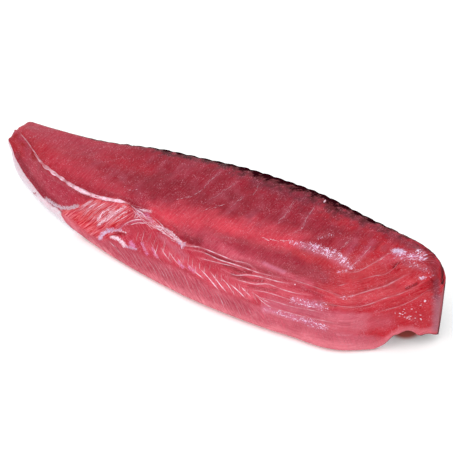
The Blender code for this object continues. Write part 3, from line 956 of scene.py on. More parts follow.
def section_controls(along):
    """The twelve control points of each section, in the order of PLACES."""
    foot = line_at(FOOT_LINE, along)
    ridge = line_at(RIDGE_LINE, along)
    crest = line_at(CREST_LINE, along)
    rim = line_at(RIM_LINE, along)
    span = rim[:, 0] - foot[:, 0]
    size = np.clip(span / (WIDTH * FULL_SPAN), 0.0, 1.0)

    def point(across, up):
        return np.stack([across + 0 * size, up + 0 * size], axis=-1)

    front = (foot + ridge) / 2 + point(-FRONT_SWELL * WIDTH * size, FRONT_SWELL_RISE * HEIGHT * size)
    scoop = (ridge + crest) / 2 + point(0, -SCOOP_DEPTH * HEIGHT * size)
    top = (crest + rim) / 2 + point(0, TOP_SWELL * HEIGHT * size)
    shoulder = point(rim[:, 0] + SHOULDER_OUT * WIDTH * size, rim[:, 1] * SHOULDER_HEIGHT)
    side = point(rim[:, 0] - SIDE_IN * WIDTH * size, rim[:, 1] * SIDE_HEIGHT)
    under_back = point(rim[:, 0] - UNDERSIDE_BACK * span, -UNDERSIDE_BACK_DIP * HEIGHT)
    under_middle = point(foot[:, 0] + UNDERSIDE_MIDDLE_SHARE * span, -UNDERSIDE_MIDDLE_DIP * HEIGHT)
    front_height = foot[:, 1] * UNDERSIDE_FRONT_RISE - UNDERSIDE_FRONT_DIP * HEIGHT
    under_front = point(foot[:, 0] + UNDERSIDE_FRONT * span, front_height)
    corners = [foot, front, ridge, scoop, crest, top, rim]
    corners += [shoulder, side, under_back, under_middle, under_front]
    return np.stack(corners, axis=1)


def closed_sections(controls, places):
    """A closed smooth curve through each section's controls, read at that section's places."""
    ring = np.concatenate([controls[:, -2:], controls, controls[:, :3]], axis=1)
    knots = np.concatenate([np.array(PLACES[-2:]) - 1, PLACES, np.array(PLACES[:3]) + 1])
    out = np.empty(places.shape + (2,))
    for station in range(len(controls)):
        for axis in range(2):
            out[station, :, axis] = curve_through(knots, ring[station, :, axis], places[station])
    return out


def stations_along(count):
    """Shares of the length, closer together near both ends."""
    even = np.linspace(0.0, 1.0, count)
    return even - END_CROWDING * np.sin(2 * math.pi * even) / (2 * math.pi)


def places_round(steps):
    """Shares of a turn, with the given numbers of even steps after each of the PLACES."""
    ends = list(PLACES[1:]) + [1.0]
    runs = [np.linspace(a, b, n, endpoint=False) for a, b, n in zip(PLACES, ends, steps)]
    return np.concatenate(runs)


def distance_to_path(along, around, path):
    """Distance in metres from each (along, around) place to a path laid on the surface."""
    nearest = np.full(np.broadcast(along, around).shape, np.inf)
    for (along_a, around_a), (along_b, around_b) in zip(path, path[1:]):
        step = np.array([(along_b - along_a) * LENGTH, (around_b - around_a) * GIRTH])
        offset_x = (along - along_a) * LENGTH
        offset_y = (around - around_a) * GIRTH
        share = np.clip((offset_x * step[0] + offset_y * step[1]) / (step @ step), 0.0, 1.0)
        nearest = np.minimum(nearest, np.hypot(offset_x - share * step[0], offset_y - share * step[1]))
    return nearest


def tail_relief(along, around):
    """The hollow strip at the front of the tail, the raised flap after it and the cord above them."""
    front = band(around, FRONT_BAND)
    past_edge = along - FLAP_EDGE[0] - (around - FLAP_EDGE[1]) * FLAP_EDGE_SLOPE
    hollow = front * ease(along, *TAIL_HOLLOW_START) * (1 - ease(past_edge, *FLAP_EDGE_DROP))
    flap = front * ease(past_edge, *FLAP_LIFT) * (1 - ease(along, *FLAP_END))
    cord = bell(around, RIDGE_PLACE, CORD_WIDTH) * (1 - ease(along, *CORD_END))
    return FLAP_RISE * flap + CORD_RISE * cord - TAIL_HOLLOW_DEPTH * hollow


def rim_scallops(along, around):
    """Small bites along the back edge of the top face."""
    sway = SCALLOP_SWAY * np.sin(SCALLOP_SWAY_RATE * along)
    scallop = np.abs(np.sin(math.pi * along / SCALLOP_PITCH + sway)) - 0.5
    near_rim = bell(around, RIM_PLACE, SCALLOP_WIDTH)
    return SCALLOP_HEIGHT * scallop * near_rim * band(along, SCALLOP_BAND)


def relief(along, around):
    """Height of the part's relief above the smooth loft, in metres."""
    around = around % 1.0
    height = tail_relief(along, around) + rim_scallops(along, around)
    for rise, waves_along, waves_round, phase in WAVES:
        turn = 2 * math.pi * (waves_along * along + waves_round * around)
        height = height + rise * np.sin(turn + phase)
    for path, width, depth in GROOVES:
        height = height - depth * bell(distance_to_path(along, around, path), 0.0, width / 2)
    return height


def outward(points, closed=True):
    """Unit normals of each section, in its own plane."""
    if closed:
        step = np.roll(points, -1, axis=1) - np.roll(points, 1, axis=1)
    else:
        step = np.gradient(points, axis=1)
    normals = np.stack([-step[..., 1], step[..., 0]], axis=-1)
    return normals / np.maximum(np.linalg.norm(normals, axis=-1, keepdims=True), 1e-9)


def rounded_ends(sections, along, low, high):
    """Draws the last few sections in towards their middles, so that the cut ends have round edges."""
    to_end = np.minimum(along, 1 - along) * LENGTH
    share = np.clip(1 - to_end / END_ROUNDING_LENGTH, 0.0, 1.0)
    inset = END_ROUNDING * (1 - np.sqrt(1 - share ** 2))
    middle = (low + high) / 2
    scale = 1 - np.minimum(inset[:, None, None] / ((high - low) / 2), 0.5)
    return middle + (sections - middle) * scale


def lift_hollow(sections, along):
    """Raises the underside below the head end, highest at its front edge."""
    stations, heights = np.array(HOLLOW_PROFILE).T
    height = np.where(along > stations[0], curve_through(stations, heights, along), 0.0)
    foot = line_at(FOOT_LINE, along)[:, 0]
    depth = sections[..., 0] - foot[:, None]
    lift = height[:, None] * (1 - ease(depth, HOLLOW_ROOF, HOLLOW_REACH))
    up = sections[..., 1]
    raised = lift + up * (1 - lift / HOLLOW_TOP)
    sections[..., 1] = np.where(up < HOLLOW_TOP, raised, up)
    return sections


# Reading the photo's places on the loin


def towards(azimuth, elevation):
    """Unit direction from the loin towards a camera or lamp."""
    flat = math.cos(elevation)
    return np.array([math.sin(azimuth) * flat, -math.cos(azimuth) * flat, math.sin(elevation)])


def view_axes():
    """Camera place and its right, up and forward directions."""
    back = towards(VIEW_AZIMUTH, VIEW_ELEVATION)
    right = np.array([math.cos(VIEW_AZIMUTH), math.sin(VIEW_AZIMUTH), 0.0])
    up = np.cross(right, -back)
    return np.array(VIEW_AIM) + back * VIEW_DISTANCE, right, up, -back


def in_photo(points):
    """Where points of the model lie in the photo, in pixels."""
    eye, right, up, forward = view_axes()
    offset = points - eye
    depth = offset @ forward
    zoom = VIEW_LENS / SENSOR * PHOTO_SIDE
    across = offset @ right / depth * zoom + PHOTO_SIDE / 2
    down = PHOTO_SIDE / 2 - offset @ up / depth * zoom
    return np.stack([across, down], axis=-1)


def path_distance(picture, path):
    """Distance in pixels to a path, the same with its side as a sign, and the share along the path."""
    nearest = np.full(picture.shape[:-1], np.inf)
    signed = np.zeros_like(nearest)
    share_along = np.zeros_like(nearest)
    corners = np.array(path, float)
    lengths = np.hypot(*np.diff(corners, axis=0).T)
    starts = np.concatenate([[0.0], np.cumsum(lengths)])
    for start, end, before, length in zip(corners, corners[1:], starts, lengths):
        step = (end - start) / length
        offset = picture - start
        run = np.clip(offset @ step, 0.0, length)
        gap = np.hypot(offset[..., 0] - run * step[0], offset[..., 1] - run * step[1])
        side = np.sign(offset[..., 0] * step[1] - offset[..., 1] * step[0])
        closer = gap < nearest
        nearest = np.where(closer, gap, nearest)
        signed = np.where(closer, gap * side, signed)
        share_along = np.where(closer, (before + run) / starts[-1], share_along)
    return nearest, signed, share_along


def blotted(picture, blots):
    """How strongly a set of blots marks each place, from 0 to 1."""
    amount = np.zeros(picture.shape[:-1])
    for reach, strength, path in blots:
        gap = path_distance(picture, path)[0]
        amount = np.maximum(amount, strength * (1 - ease(gap, BLOT_CORE * reach, reach)))
    return amount


def inside_zone(picture, corners, softness):
    """1 well inside an outline in the photo and 0 well outside it."""
    closed = list(corners) + [corners[0]]
    inside = np.zeros(picture.shape[:-1], bool)
    for (x_a, y_a), (x_b, y_b) in zip(closed, closed[1:]):
        if y_a == y_b:
            continue
        crosses = (picture[..., 1] > min(y_a, y_b)) & (picture[..., 1] <= max(y_a, y_b))
        edge_x = x_a + (picture[..., 1] - y_a) * (x_b - x_a) / (y_b - y_a)
        inside ^= crosses & (picture[..., 0] < edge_x)
    gap = path_distance(picture, closed)[0]
    return ease(np.where(inside, gap, -gap), -softness, softness)


def within(picture, corners):
    """Which places lie inside an outline in the photo."""
    return inside_zone(picture, corners, 0.5) > 0.5


def path_stations(path):
    """A path's corners, and how far along the path each of them lies."""
    corners = np.array(path, float)
    return corners, np.concatenate([[0.0], np.cumsum(np.hypot(*np.diff(corners, axis=0).T))])


def even_path(path, count):
    """Evenly spaced points on a smooth curve through a path's corners."""
    corners, stations = path_stations(path)
    places = np.linspace(0.0, stations[-1], count)
    return np.stack([curve_through(stations, corners[:, axis], places) for axis in (0, 1)], axis=-1)


def smooth_path(path, step):
    """A path's points a short step apart, on a smooth curve through its corners."""
    return even_path(path, max(4, int(path_stations(path)[1][-1] / step) + 1))


def between(path_a, path_b, share, count):
    """A path that lies between two others."""
    return even_path(path_a, count) * (1 - share) + even_path(path_b, count) * share


def gather(grid, rows, columns):
    """Values of a grid between its points."""
    row = np.clip(np.floor(rows).astype(int), 0, grid.shape[0] - 2)
    column = np.clip(np.floor(columns).astype(int), 0, grid.shape[1] - 2)
    share_row = (rows - row)[:, None]
    share_column = (columns - column)[:, None]
    near = grid[row, column] * (1 - share_column) + grid[row, column + 1] * share_column
    far = grid[row + 1, column] * (1 - share_column) + grid[row + 1, column + 1] * share_column
    return near * (1 - share_row) + far * share_row


# The flesh's surface


def part_sections(along, places):
    """The part's own sections at the given stations and places, before the loin is centred."""
    whole = np.tile(places_round(FLESH_STEPS), (len(along), 1))

    def raised(spots, closed):
        sections = closed_sections(section_controls(along), spots)
        height = relief(along[:, None], spots) * ease(sections[..., 1], 0.0, FLAT_FOOT)
        return sections + outward(sections, closed) * height[..., None]

    ring = raised(whole, True)
    low = ring.min(axis=1, keepdims=True)
    high = ring.max(axis=1, keepdims=True)
    sections = ring if places is None else raised(places, False)
    sections = rounded_ends(sections, along, low, high)
    sections[..., 1] = np.maximum(sections[..., 1], 0.0)
    return lift_hollow(sections, along)


def with_length(along, sections):
    """Points of sections, each at its station along the loin."""
    length = np.broadcast_to(((along - 0.5) * LENGTH)[:, None, None], sections.shape[:2] + (1,))
    return np.concatenate([length, sections], axis=-1)


def grid_normals(points):
    """Unit normals that point out of the loin, at each point of a grid."""
    normals = np.cross(np.gradient(points, axis=0), np.gradient(points, axis=1))
    return normals / np.maximum(np.linalg.norm(normals, axis=-1, keepdims=True), 1e-12)


def fine_relief(along, around, picture, from_rim):
    """Height of the fine relief of the cut faces, in metres: layers, slits, fibres and crags."""
    height = np.zeros(picture.shape[:-1])
    for lines, upper in ((SHALLOW_LINES, 1.0), (HEAD_ARCS, -1.0)):
        for _, strength, path in lines:
            gap, signed, share = path_distance(picture, path)
            fall = 1 - ease(gap, LAYER_EDGE, LAYER_REACH)
            step = upper * np.clip(signed / LAYER_EDGE, -1, 1) * fall
            height = height + LAYER_STEP * strength * fading_ends(share, LINE_FADE) * step
    for _, strength, path in FAN_LINES:
        gap = path_distance(picture, path)[0]
        height = height - FAN_DEPTH * strength * bell(gap, 0.0, FAN_HALF_WIDTH)
    for depth, reach, path in GAPS:
        gap = path_distance(picture, path)[0]
        height = height - GAP_DEPTH * depth * bell(gap, 0.0, GAP_HALF_WIDTH * reach)
    height = height - SLIT_DEPTH * blotted(picture, SLITS)
    across_fibres = picture[..., 0] * FLAP_ACROSS[0] + picture[..., 1] * FLAP_ACROSS[1]
    along_fibres = picture[..., 0] * FLAP_ACROSS[1] - picture[..., 1] * FLAP_ACROSS[0]
    fibres = cloud(along_fibres / FLAP_FIBRE_STRETCH, across_fibres, FLAP_FIBRE_WIDTH, seed=11)
    height = height + FLAP_FIBRE_HEIGHT * fibres * inside_zone(picture, FLAP_ZONE, FLAP_SOFTNESS)
    metres = (along[:, None] * LENGTH, around[None, :] * GIRTH)
    near_rim = (1 - ease(from_rim, 0.0, CRAG_REACH)) * ease(along, *CRAG_START)[:, None]
    height = height + CRAG_HEIGHT * clouds(*metres, CRAGS, seed=21) * near_rim
    return height + LUMP_HEIGHT * clouds(*metres, LUMPS, seed=31)


class Surface:
    """The flesh's grid of points, and where each of them lies in the photo."""

    def __init__(self):
        self.along = stations_along(FLESH_STATIONS)
        self.around = places_round(FLESH_STEPS)
        plain = part_sections(self.along, None)
        points = with_length(self.along, plain)
        low, high = (np.array(corner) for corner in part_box(NODE))
        grid_low = points.reshape(-1, 3).min(axis=0)
        grid_high = points.reshape(-1, 3).max(axis=0)
        self.shift = (low + high) / 2 - (grid_low + grid_high) / 2
        self.shift[2] = low[2] - grid_low[2]
        self.picture = in_photo(points + self.shift)
        steps = np.linalg.norm(np.diff(points[:, :CUT_COLUMNS], axis=1), axis=-1)
        from_foot = np.concatenate([np.zeros((len(points), 1)), np.cumsum(steps, axis=1)], axis=1)
        self.from_rim = np.zeros(self.picture.shape[:-1])
        self.from_rim[:, :CUT_COLUMNS] = from_foot[:, -1:] - from_foot
        height = fine_relief(self.along, self.around, self.picture, self.from_rim)
        cut = 1 - ease(self.around, *UNDER_SKIN[:2]) * (1 - ease(self.around, *UNDER_SKIN[2:]))
        height = height * ease(plain[..., 1], 0.0, FLAT_FOOT) * cut
        height = height - SKIN_THICKNESS * UNDER_SKIN_SHARE * (1 - cut)
        self.points = with_length(self.along, plain + outward(plain) * height[..., None]) + self.shift
        self.points[..., 2] = np.maximum(self.points[..., 2], LOWEST_FLESH)
        self.normals = grid_normals(self.points)
        self.tree = self.picture_tree()

    def picture_tree(self):
        """Finds the cut faces' points that the camera sees, by their places in the photo."""
        to_eye = view_axes()[0] - self.points[:, :CUT_COLUMNS]
        seen = np.argwhere((self.normals[:, :CUT_COLUMNS] * to_eye).sum(axis=-1) > 0)
        tree = KDTree(len(seen))
        for row, column in seen:
            x, y = self.picture[row, column]
            tree.insert((x, y, 0.0), int(row) * CUT_COLUMNS + int(column))
        tree.balance()
        return tree

    def find(self, places):
        """Rows and columns of the grid where the photo's places lie."""
        found = np.array([self.tree.find((x, y, 0.0))[1] for x, y in places])
        rows = (found // CUT_COLUMNS).astype(float)
        columns = (found % CUT_COLUMNS).astype(float)
        for _ in range(3):
            miss = places - gather(self.picture, rows, columns)
            down = gather(self.picture, rows + 0.5, columns) - gather(self.picture, rows - 0.5, columns)
            side = gather(self.picture, rows, columns + 0.5) - gather(self.picture, rows, columns - 0.5)
            area = down[:, 0] * side[:, 1] - down[:, 1] * side[:, 0]
            area = np.where(np.abs(area) < 1e-4, 1e-4, area)
            rows += np.clip((miss[:, 0] * side[:, 1] - miss[:, 1] * side[:, 0]) / area, -1, 1)
            columns += np.clip((down[:, 0] * miss[:, 1] - down[:, 1] * miss[:, 0]) / area, -1, 1)
            rows = np.clip(rows, 0.5, FLESH_STATIONS - 1.5)
            columns = np.clip(columns, 0.5, CUT_COLUMNS - 1.5)
        return rows, columns


@lru_cache(maxsize=None)
def loin_surface():
    """The flesh's surface, worked out once."""
    return Surface()


def grain_axes(picture, angle):
    """Places across and along a direction in the photo, in pixels."""
    turn = math.radians(angle)
    across = picture @ np.array([-math.sin(turn), math.cos(turn)])
    return across, picture @ np.array([math.cos(turn), math.sin(turn)])


def flesh_tints(surface, colours):
    """Colour of the flesh at each point, by the zones of muscle that the cut faces show, with light and
    shade painted in: the lit crest, shade in the scoop, the gaps and above the layers, light below the
    layers' edges, and wet sheen.
    """
    along = surface.along[:, None]
    around = surface.around[None, :CUT_COLUMNS]
    picture = surface.picture[:, :CUT_COLUMNS]
    metres = (along * LENGTH, around * GIRTH)
    whole = np.empty(surface.picture.shape[:-1] + (3,))
    whole[:] = colours.top_red
    tint = whole[:, :CUT_COLUMNS]

    def lay(colour, amount):
        share = np.broadcast_to(amount, tint.shape[:-1])[..., None]
        tint[:] = tint * (1 - share) + np.array(colour) * share

    past_tail = ease(along, *PAST_TAIL)
    lay(colours.tail_red, 1 - ease(along, *TAIL_RED_END))
    sway = HEAD_RED_SWAY * cloud(*metres, HEAD_RED_LUMP, seed=41)
    lay(colours.head_red, ease(along + sway, *HEAD_RED_START))
    front = 1 - ease(around, *FRONT_END)
    lay(colours.strip_red, front * (1 - past_tail))
    lay(colours.fan_red, front * past_tail * (1 - ease(along, *FAN_RED_END)))
    below_seam = ease(-path_distance(picture, BAND_TOP)[1], *SEAM_EDGE) * front * past_tail
    lay(colours.low_pink, below_seam * (1 - ease(along, *LOW_PINK_END)))

    across, direct = grain_axes(picture, TOP_GRAIN + TOP_BAND_TURN)
    bands = TOP_BAND_BROAD * cloud(direct, across, TOP_BAND_WIDTHS[0], seed=46)
    bands = bands + cloud(direct / TOP_BAND_STRETCH, across, TOP_BAND_WIDTHS[1], seed=47)
    top = TOP_BANDS * ease(around, *TOP_START) * ease(along, *TOP_BANDS_START)
    lay(colours.streak_mauve, top * ease(bands, *TOP_BAND_EDGE))
    lay(colours.dusk_red, top * ease(-bands, *TOP_BAND_EDGE))
    ragged = 1 + clouds(*metres, WASH_RAGS, seed=42)
    for name, amount, reach, path in WASHES:
        gap = path_distance(picture, path)[0] * ragged
        lay(getattr(colours, name), amount * (1 - ease(gap, 0.0, reach)))

    across = grain_axes(picture, BAND_GRAIN)[0]
    sway = SEAM_STRIPE_SWAY * cloud(*metres, SEAM_STRIPE_LUMP, seed=48)
    stripes = np.sin(2 * math.pi * (across / SEAM_STRIPE_PITCH + sway))
    striped = SEAM_STRIPES * below_seam * (1 - ease(along, *STRIPES_END))
    lay(colours.low_mauve, striped * ease(stripes, *SEAM_STRIPE_EDGE))
    flap = inside_zone(picture, FLAP_ZONE, FLAP_EDGE_SOFTNESS)
    across, direct = grain_axes(picture, FLAP_GRAIN)
    shreds = cloud(direct / FLAP_SHRED_STRETCH, across, FLAP_SHRED_WIDTH, seed=49)
    lay(colours.flap_coral, FLAP_CORAL * flap)
    lay(colours.flap_red, FLAP_RED * flap * ease(shreds, *FLAP_RED_EDGE))

    # Painted light below each layer's pale edge, and painted shade above it
    for _, strength, path in HEAD_ARCS:
        gap, signed, share = path_distance(picture, path)
        fade = strength * fading_ends(share, LINE_FADE)
        lay(colours.head_rose, ARC_LIGHT * fade * (1 - ease(gap, 0.0, ARC_LIGHT_REACH)) * (signed < 0))
        lay(colours.deep_red_and_shade, ARC_SHADE * fade * (1 - ease(gap, 0.0, ARC_SHADE_REACH)) * (signed > 0))
    for _, strength, path in SHALLOW_LINES + HEAD_ARCS:
        gap = path_distance(picture, path)[0]
        lay(colours.line_rose, LINE_GLOW * strength * (1 - ease(gap, *LINE_GLOW_EDGE)))
    # Painted shade in the gaps between layers
    for depth, reach, path in GAPS:
        gap = path_distance(picture, path)[0] * ragged
        lay(colours.gap_shade_red, depth * (1 - ease(gap, GAP_CORE * reach, reach)))
    rim = surface.from_rim[:, :CUT_COLUMNS] / rim_width(surface, around)
    # Purple-grey inside the rim: dark flesh with a painted sheen
    lay(colours.rim_sheen_grey, RIM_SHEEN * (1 - ease(rim, *RIM_SHEEN_EDGE)))
    lay(colours.rim_maroon, RIM_MAROON * (1 - ease(rim, *RIM_MAROON_EDGE)))
    return whole


def patch_layer(surface, colours):
    """Colour and amount of the crisp patches at each point."""
    tint = surface.tint.copy()
    amount = np.zeros(tint.shape[:-1])
    for name, strength, reach, path in PATCHES:
        gap = path_distance(surface.picture, path)[0]
        share = strength * (1 - ease(gap, 0.0, PATCH_FRINGE * reach))
        tint[share > amount] = getattr(colours, name)
        amount = np.maximum(amount, share)
    return tint, amount


def rim_width(surface, around):
    """Width of the dark rim in metres at each point, with a ragged edge."""
    stations, widths = np.array(DARK_RIM_WIDTH).T
    width = np.maximum(curve_through(stations, widths, surface.along)[:, None], 1e-5)
    return width * (1 + clouds(surface.along[:, None] * LENGTH, around * GIRTH, RIM_RAGS, seed=51))


def flesh_masks(surface):
    """Shares from 0 to 1 for the finishes that lie on the flesh: the dark rim, and the wet zones, which also
    carry the painted glints.
    """
    around = surface.around[None, :]
    rim = 1.0 - surface.from_rim / rim_width(surface, around) / RIM_BLACK
    cut = np.broadcast_to(around <= RIM_PLACE + 0.001, rim.shape)
    return {
        "rim_dark": np.where(cut & (surface.from_rim < RIM_FARTHEST), np.clip(rim, 0.0, 1.0), 0.0),
        "wet": blotted(surface.picture, WET_AND_GLINT_BLOTS),
    }


def grain_map(surface):
    """Places along and across the fibres, in metres, and how strongly the fibres show."""
    picture = surface.picture
    along = surface.along[:, None]
    spots = np.zeros(picture.shape[:-1] + (3,))
    amount = np.zeros(picture.shape[:-1])

    def turned(angle):
        across, direct = grain_axes(picture, angle)
        return np.stack([direct, across, 0 * across], axis=-1) * METRES_PER_PIXEL

    def put(where, places, strength):
        spots[where] = places[where]
        amount[where] = strength

    put(np.ones(amount.shape, bool), turned(TOP_GRAIN), TOP_FIBRES)
    guide = np.array(LAYER_GUIDE)
    length = np.hypot(*np.diff(guide, axis=0).T).sum()
    _, signed, share = path_distance(picture, LAYER_GUIDE)
    layers = np.stack([share * length, signed, 0 * signed], axis=-1) * METRES_PER_PIXEL
    low = (path_distance(picture, SCOOP_LINE)[1] < 0) & (along > GRAIN_TAIL_END)
    put(low, layers, LAYER_FIBRES)
    front = np.broadcast_to(surface.around[None, :] < RIDGE_PLACE, low.shape)
    put(front & (along < GRAIN_TAIL_END), turned(STRIP_GRAIN), LAYER_FIBRES)
    put(front & (along > GRAIN_HEAD_START), turned(END_GRAIN), END_FIBRES)
    put(within(picture, FAN_ZONE), turned(FAN_GRAIN), FAN_FIBRES)
    below = (path_distance(picture, BAND_TOP)[1] < 0) & front & (along > GRAIN_BAND_START)
    put(below & (along < STRIPES_END[1]), turned(BAND_GRAIN), BAND_FIBRES)
    put(within(picture, FLAP_ZONE), turned(FLAP_GRAIN), FLAP_FIBRES_SHOWN)
    return spots, amount


# Meshes


def loft_faces(rows, columns):
    """Quads between the points of a grid of closed rings, with their outsides facing out."""
    row = np.arange(rows - 1)[:, None] * columns
    column = np.arange(columns)[None, :]
    after = (column + 1) % columns
    corners = [row + column, row + columns + column, row + columns + after, row + after]
    return np.stack(corners, axis=-1).reshape(-1, 4).tolist()


def add_attribute(data, name, values):
    """Stores a number, a vector or, under a tint's name, a colour for each point of a mesh."""
    values = np.asarray(values, np.float32).reshape(len(data.vertices), -1)
    kind, field = "FLOAT_VECTOR", "vector"
    if values.shape[1] == 1:
        kind, field = "FLOAT", "value"
    elif name.endswith("tint"):
        kind, field = "FLOAT_COLOR", "color"
        values = np.concatenate([values, np.ones_like(values[:, :1])], axis=1)
    data.attributes.new(name, kind, "POINT").data.foreach_set(field, values.ravel())


def add_piece(name, points, faces, material, values):
    """A smooth mesh object that rides on the loin's body."""
    data = bpy.data.meshes.new(name)
    data.from_pydata(points.reshape(-1, 3).tolist(), [], faces)
    data.shade_smooth()
    for value_name, grid in values.items():
        add_attribute(data, value_name, grid)
    data.materials.append(material)
    piece = bpy.data.objects.new(name, data)
    bpy.context.scene.collection.objects.link(piece)
    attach(piece, BODY)
    return piece


def end_rings(grid, shares, toward):
    """Rings that shrink from an end row of a grid towards its middle, and that middle."""
    edge = grid[-1 if toward else 0]
    middle = edge.mean(axis=0)
    return [middle + (edge - middle) * share for share in shares], middle


def with_ends(grid, shares):
    """A grid of values with shrinking rings added before its first and after its last row."""
    first, start = end_rings(grid, shares, False)
    last, end = end_rings(grid, shares, True)
    rows = np.concatenate([np.array(first[::-1]), grid, np.array(last)])
    flat = rows.reshape(-1, grid.shape[-1])
    return np.concatenate([flat, start[None], end[None]])


def flesh_mesh(surface):
    """Faces of the flesh, with both cut ends closed by rings and a fan."""
    columns = len(surface.around)
    rows = FLESH_STATIONS + 2 * CAP_RINGS
    faces = loft_faces(rows, columns)
    start = rows * columns
    last = (rows - 1) * columns
    for k in range(columns):
        after = (k + 1) % columns
        faces.append((start, k, after))
        faces.append((start + 1, last + after, last + k))
    return faces


def tissue_strand(surface, path, width, strength, seed, taper=0.3, rise=0.55):
    """Points, faces and values of one thin strand that lies half sunk in the flesh."""
    rows, columns = surface.find(smooth_path(path, STRAND_STEP))
    points = gather(surface.points, rows, columns)
    normals = gather(surface.normals, rows, columns)
    points[1:-1] = (points[:-2] + 2 * points[1:-1] + points[2:]) / 4
    side = np.cross(normals, np.gradient(points, axis=0))
    side /= np.maximum(np.linalg.norm(side, axis=-1, keepdims=True), 1e-9)
    share = np.linspace(0.0, 1.0, len(points))
    run = share * len(points)

    def lumpy(amount, lump, number):
        return amount * cloud(run, 0.5, lump, number)

    swell = fading_ends(share, taper)
    uneven = 1 + lumpy(*STRAND_UNEVEN, seed)
    broken = 1 + lumpy(*LINE_BREAKS, seed + 7) + lumpy(*LINE_GRIT, seed)
    half = (width / 2 * MILLIMETRE * (STRAND_TIP + (1 - STRAND_TIP) * swell) * uneven)[:, None]
    turn = np.linspace(0.0, 2 * math.pi, STRAND_SIDES, endpoint=False)
    ring = (
        points[:, None]
        + side[:, None] * (half * np.cos(turn))[..., None]
        + normals[:, None] * (half * rise * (np.sin(turn) + STRAND_LIFT))[..., None]
    )
    faces = [face[::-1] for face in loft_faces(len(points), STRAND_SIDES)]
    last = (len(points) - 1) * STRAND_SIDES
    faces.append(list(range(STRAND_SIDES))[::-1])
    faces.append(list(range(last, last + STRAND_SIDES)))
    white = np.clip(strength * (STRAND_PALE + (1 - STRAND_PALE) * swell) * broken, 0.0, 1.0)
    return {
        "points": ring.reshape(-1, 3),
        "faces": faces,
        "tissue": np.repeat(white, STRAND_SIDES),
        "tint": np.repeat(gather(surface.tint, rows, columns), STRAND_SIDES, axis=0),
    }


def add_strands(name, strands, material):
    """One piece of many strands."""
    faces = []
    count = 0
    for strand in strands:
        faces += [[corner + count for corner in face] for face in strand["faces"]]
        count += len(strand["points"])
    points, tissue, tint = (
        np.concatenate([strand[part] for strand in strands]) for part in ("points", "tissue", "tint")
    )
    values = {"tissue": tissue, "tint": tint, "place": points}
    return add_piece(name, points, faces, material, values)


def strokes(surface, group, seed):
    """Strands for a group of strokes."""
    return [
        tissue_strand(surface, path, width, strength, seed + number)
        for number, (width, strength, path) in enumerate(group)
    ]


def flecks_along(surface, path, width, strength, draw, seed):
    """Short flecks scattered along a path."""
    route = smooth_path(path, FLECK_STEP)
    forward = np.gradient(route, axis=0)
    forward /= np.linalg.norm(forward, axis=-1, keepdims=True)
    strands = []
    for number, (spot, way) in enumerate(zip(route, forward)):
        middle = spot + draw.uniform(-FLECK_SCATTER, FLECK_SCATTER, 2)
        half = way * draw.uniform(*FLECK_HALF)
        fleck_width = width * draw.uniform(*FLECK_WIDTH)
        fleck_strength = min(1.0, strength * draw.uniform(*FLECK_STRENGTH))
        ends = (middle - half, middle, middle + half)
        strands.append(tissue_strand(surface, ends, fleck_width, fleck_strength, seed + number))
    return strands


def bowed(first, last, begin, reach, bow):
    """A path over part of the way from one place to another, bowed to one side."""
    steps = np.linspace(begin, reach, STRAND_BEND_POINTS)[:, None]
    return first * (1 - steps) + last * steps + bow * np.sin(math.pi * steps)


def scattered(surface, path_a, path_b, count, widths, strengths, draw, seed):
    """Broken strands that run from one path to another."""
    start = smooth_path(path_a, 1.0)
    end = smooth_path(path_b, 1.0)
    strands = []
    for number in range(count):
        share = (number + draw.uniform(0.1, 0.9)) / count
        first = start[int(share * (len(start) - 1))]
        last = end[int(share * (len(end) - 1))]
        begin = draw.uniform(*SCATTER_BEGIN)
        reach = min(1.0, begin + draw.uniform(*SCATTER_RUN))
        path = bowed(first, last, begin, reach, draw.uniform(-SCATTER_BOW, SCATTER_BOW, 2))
        width = draw.uniform(*widths)
        strands.append(tissue_strand(surface, path, width, draw.uniform(*strengths), seed + number))
    return strands


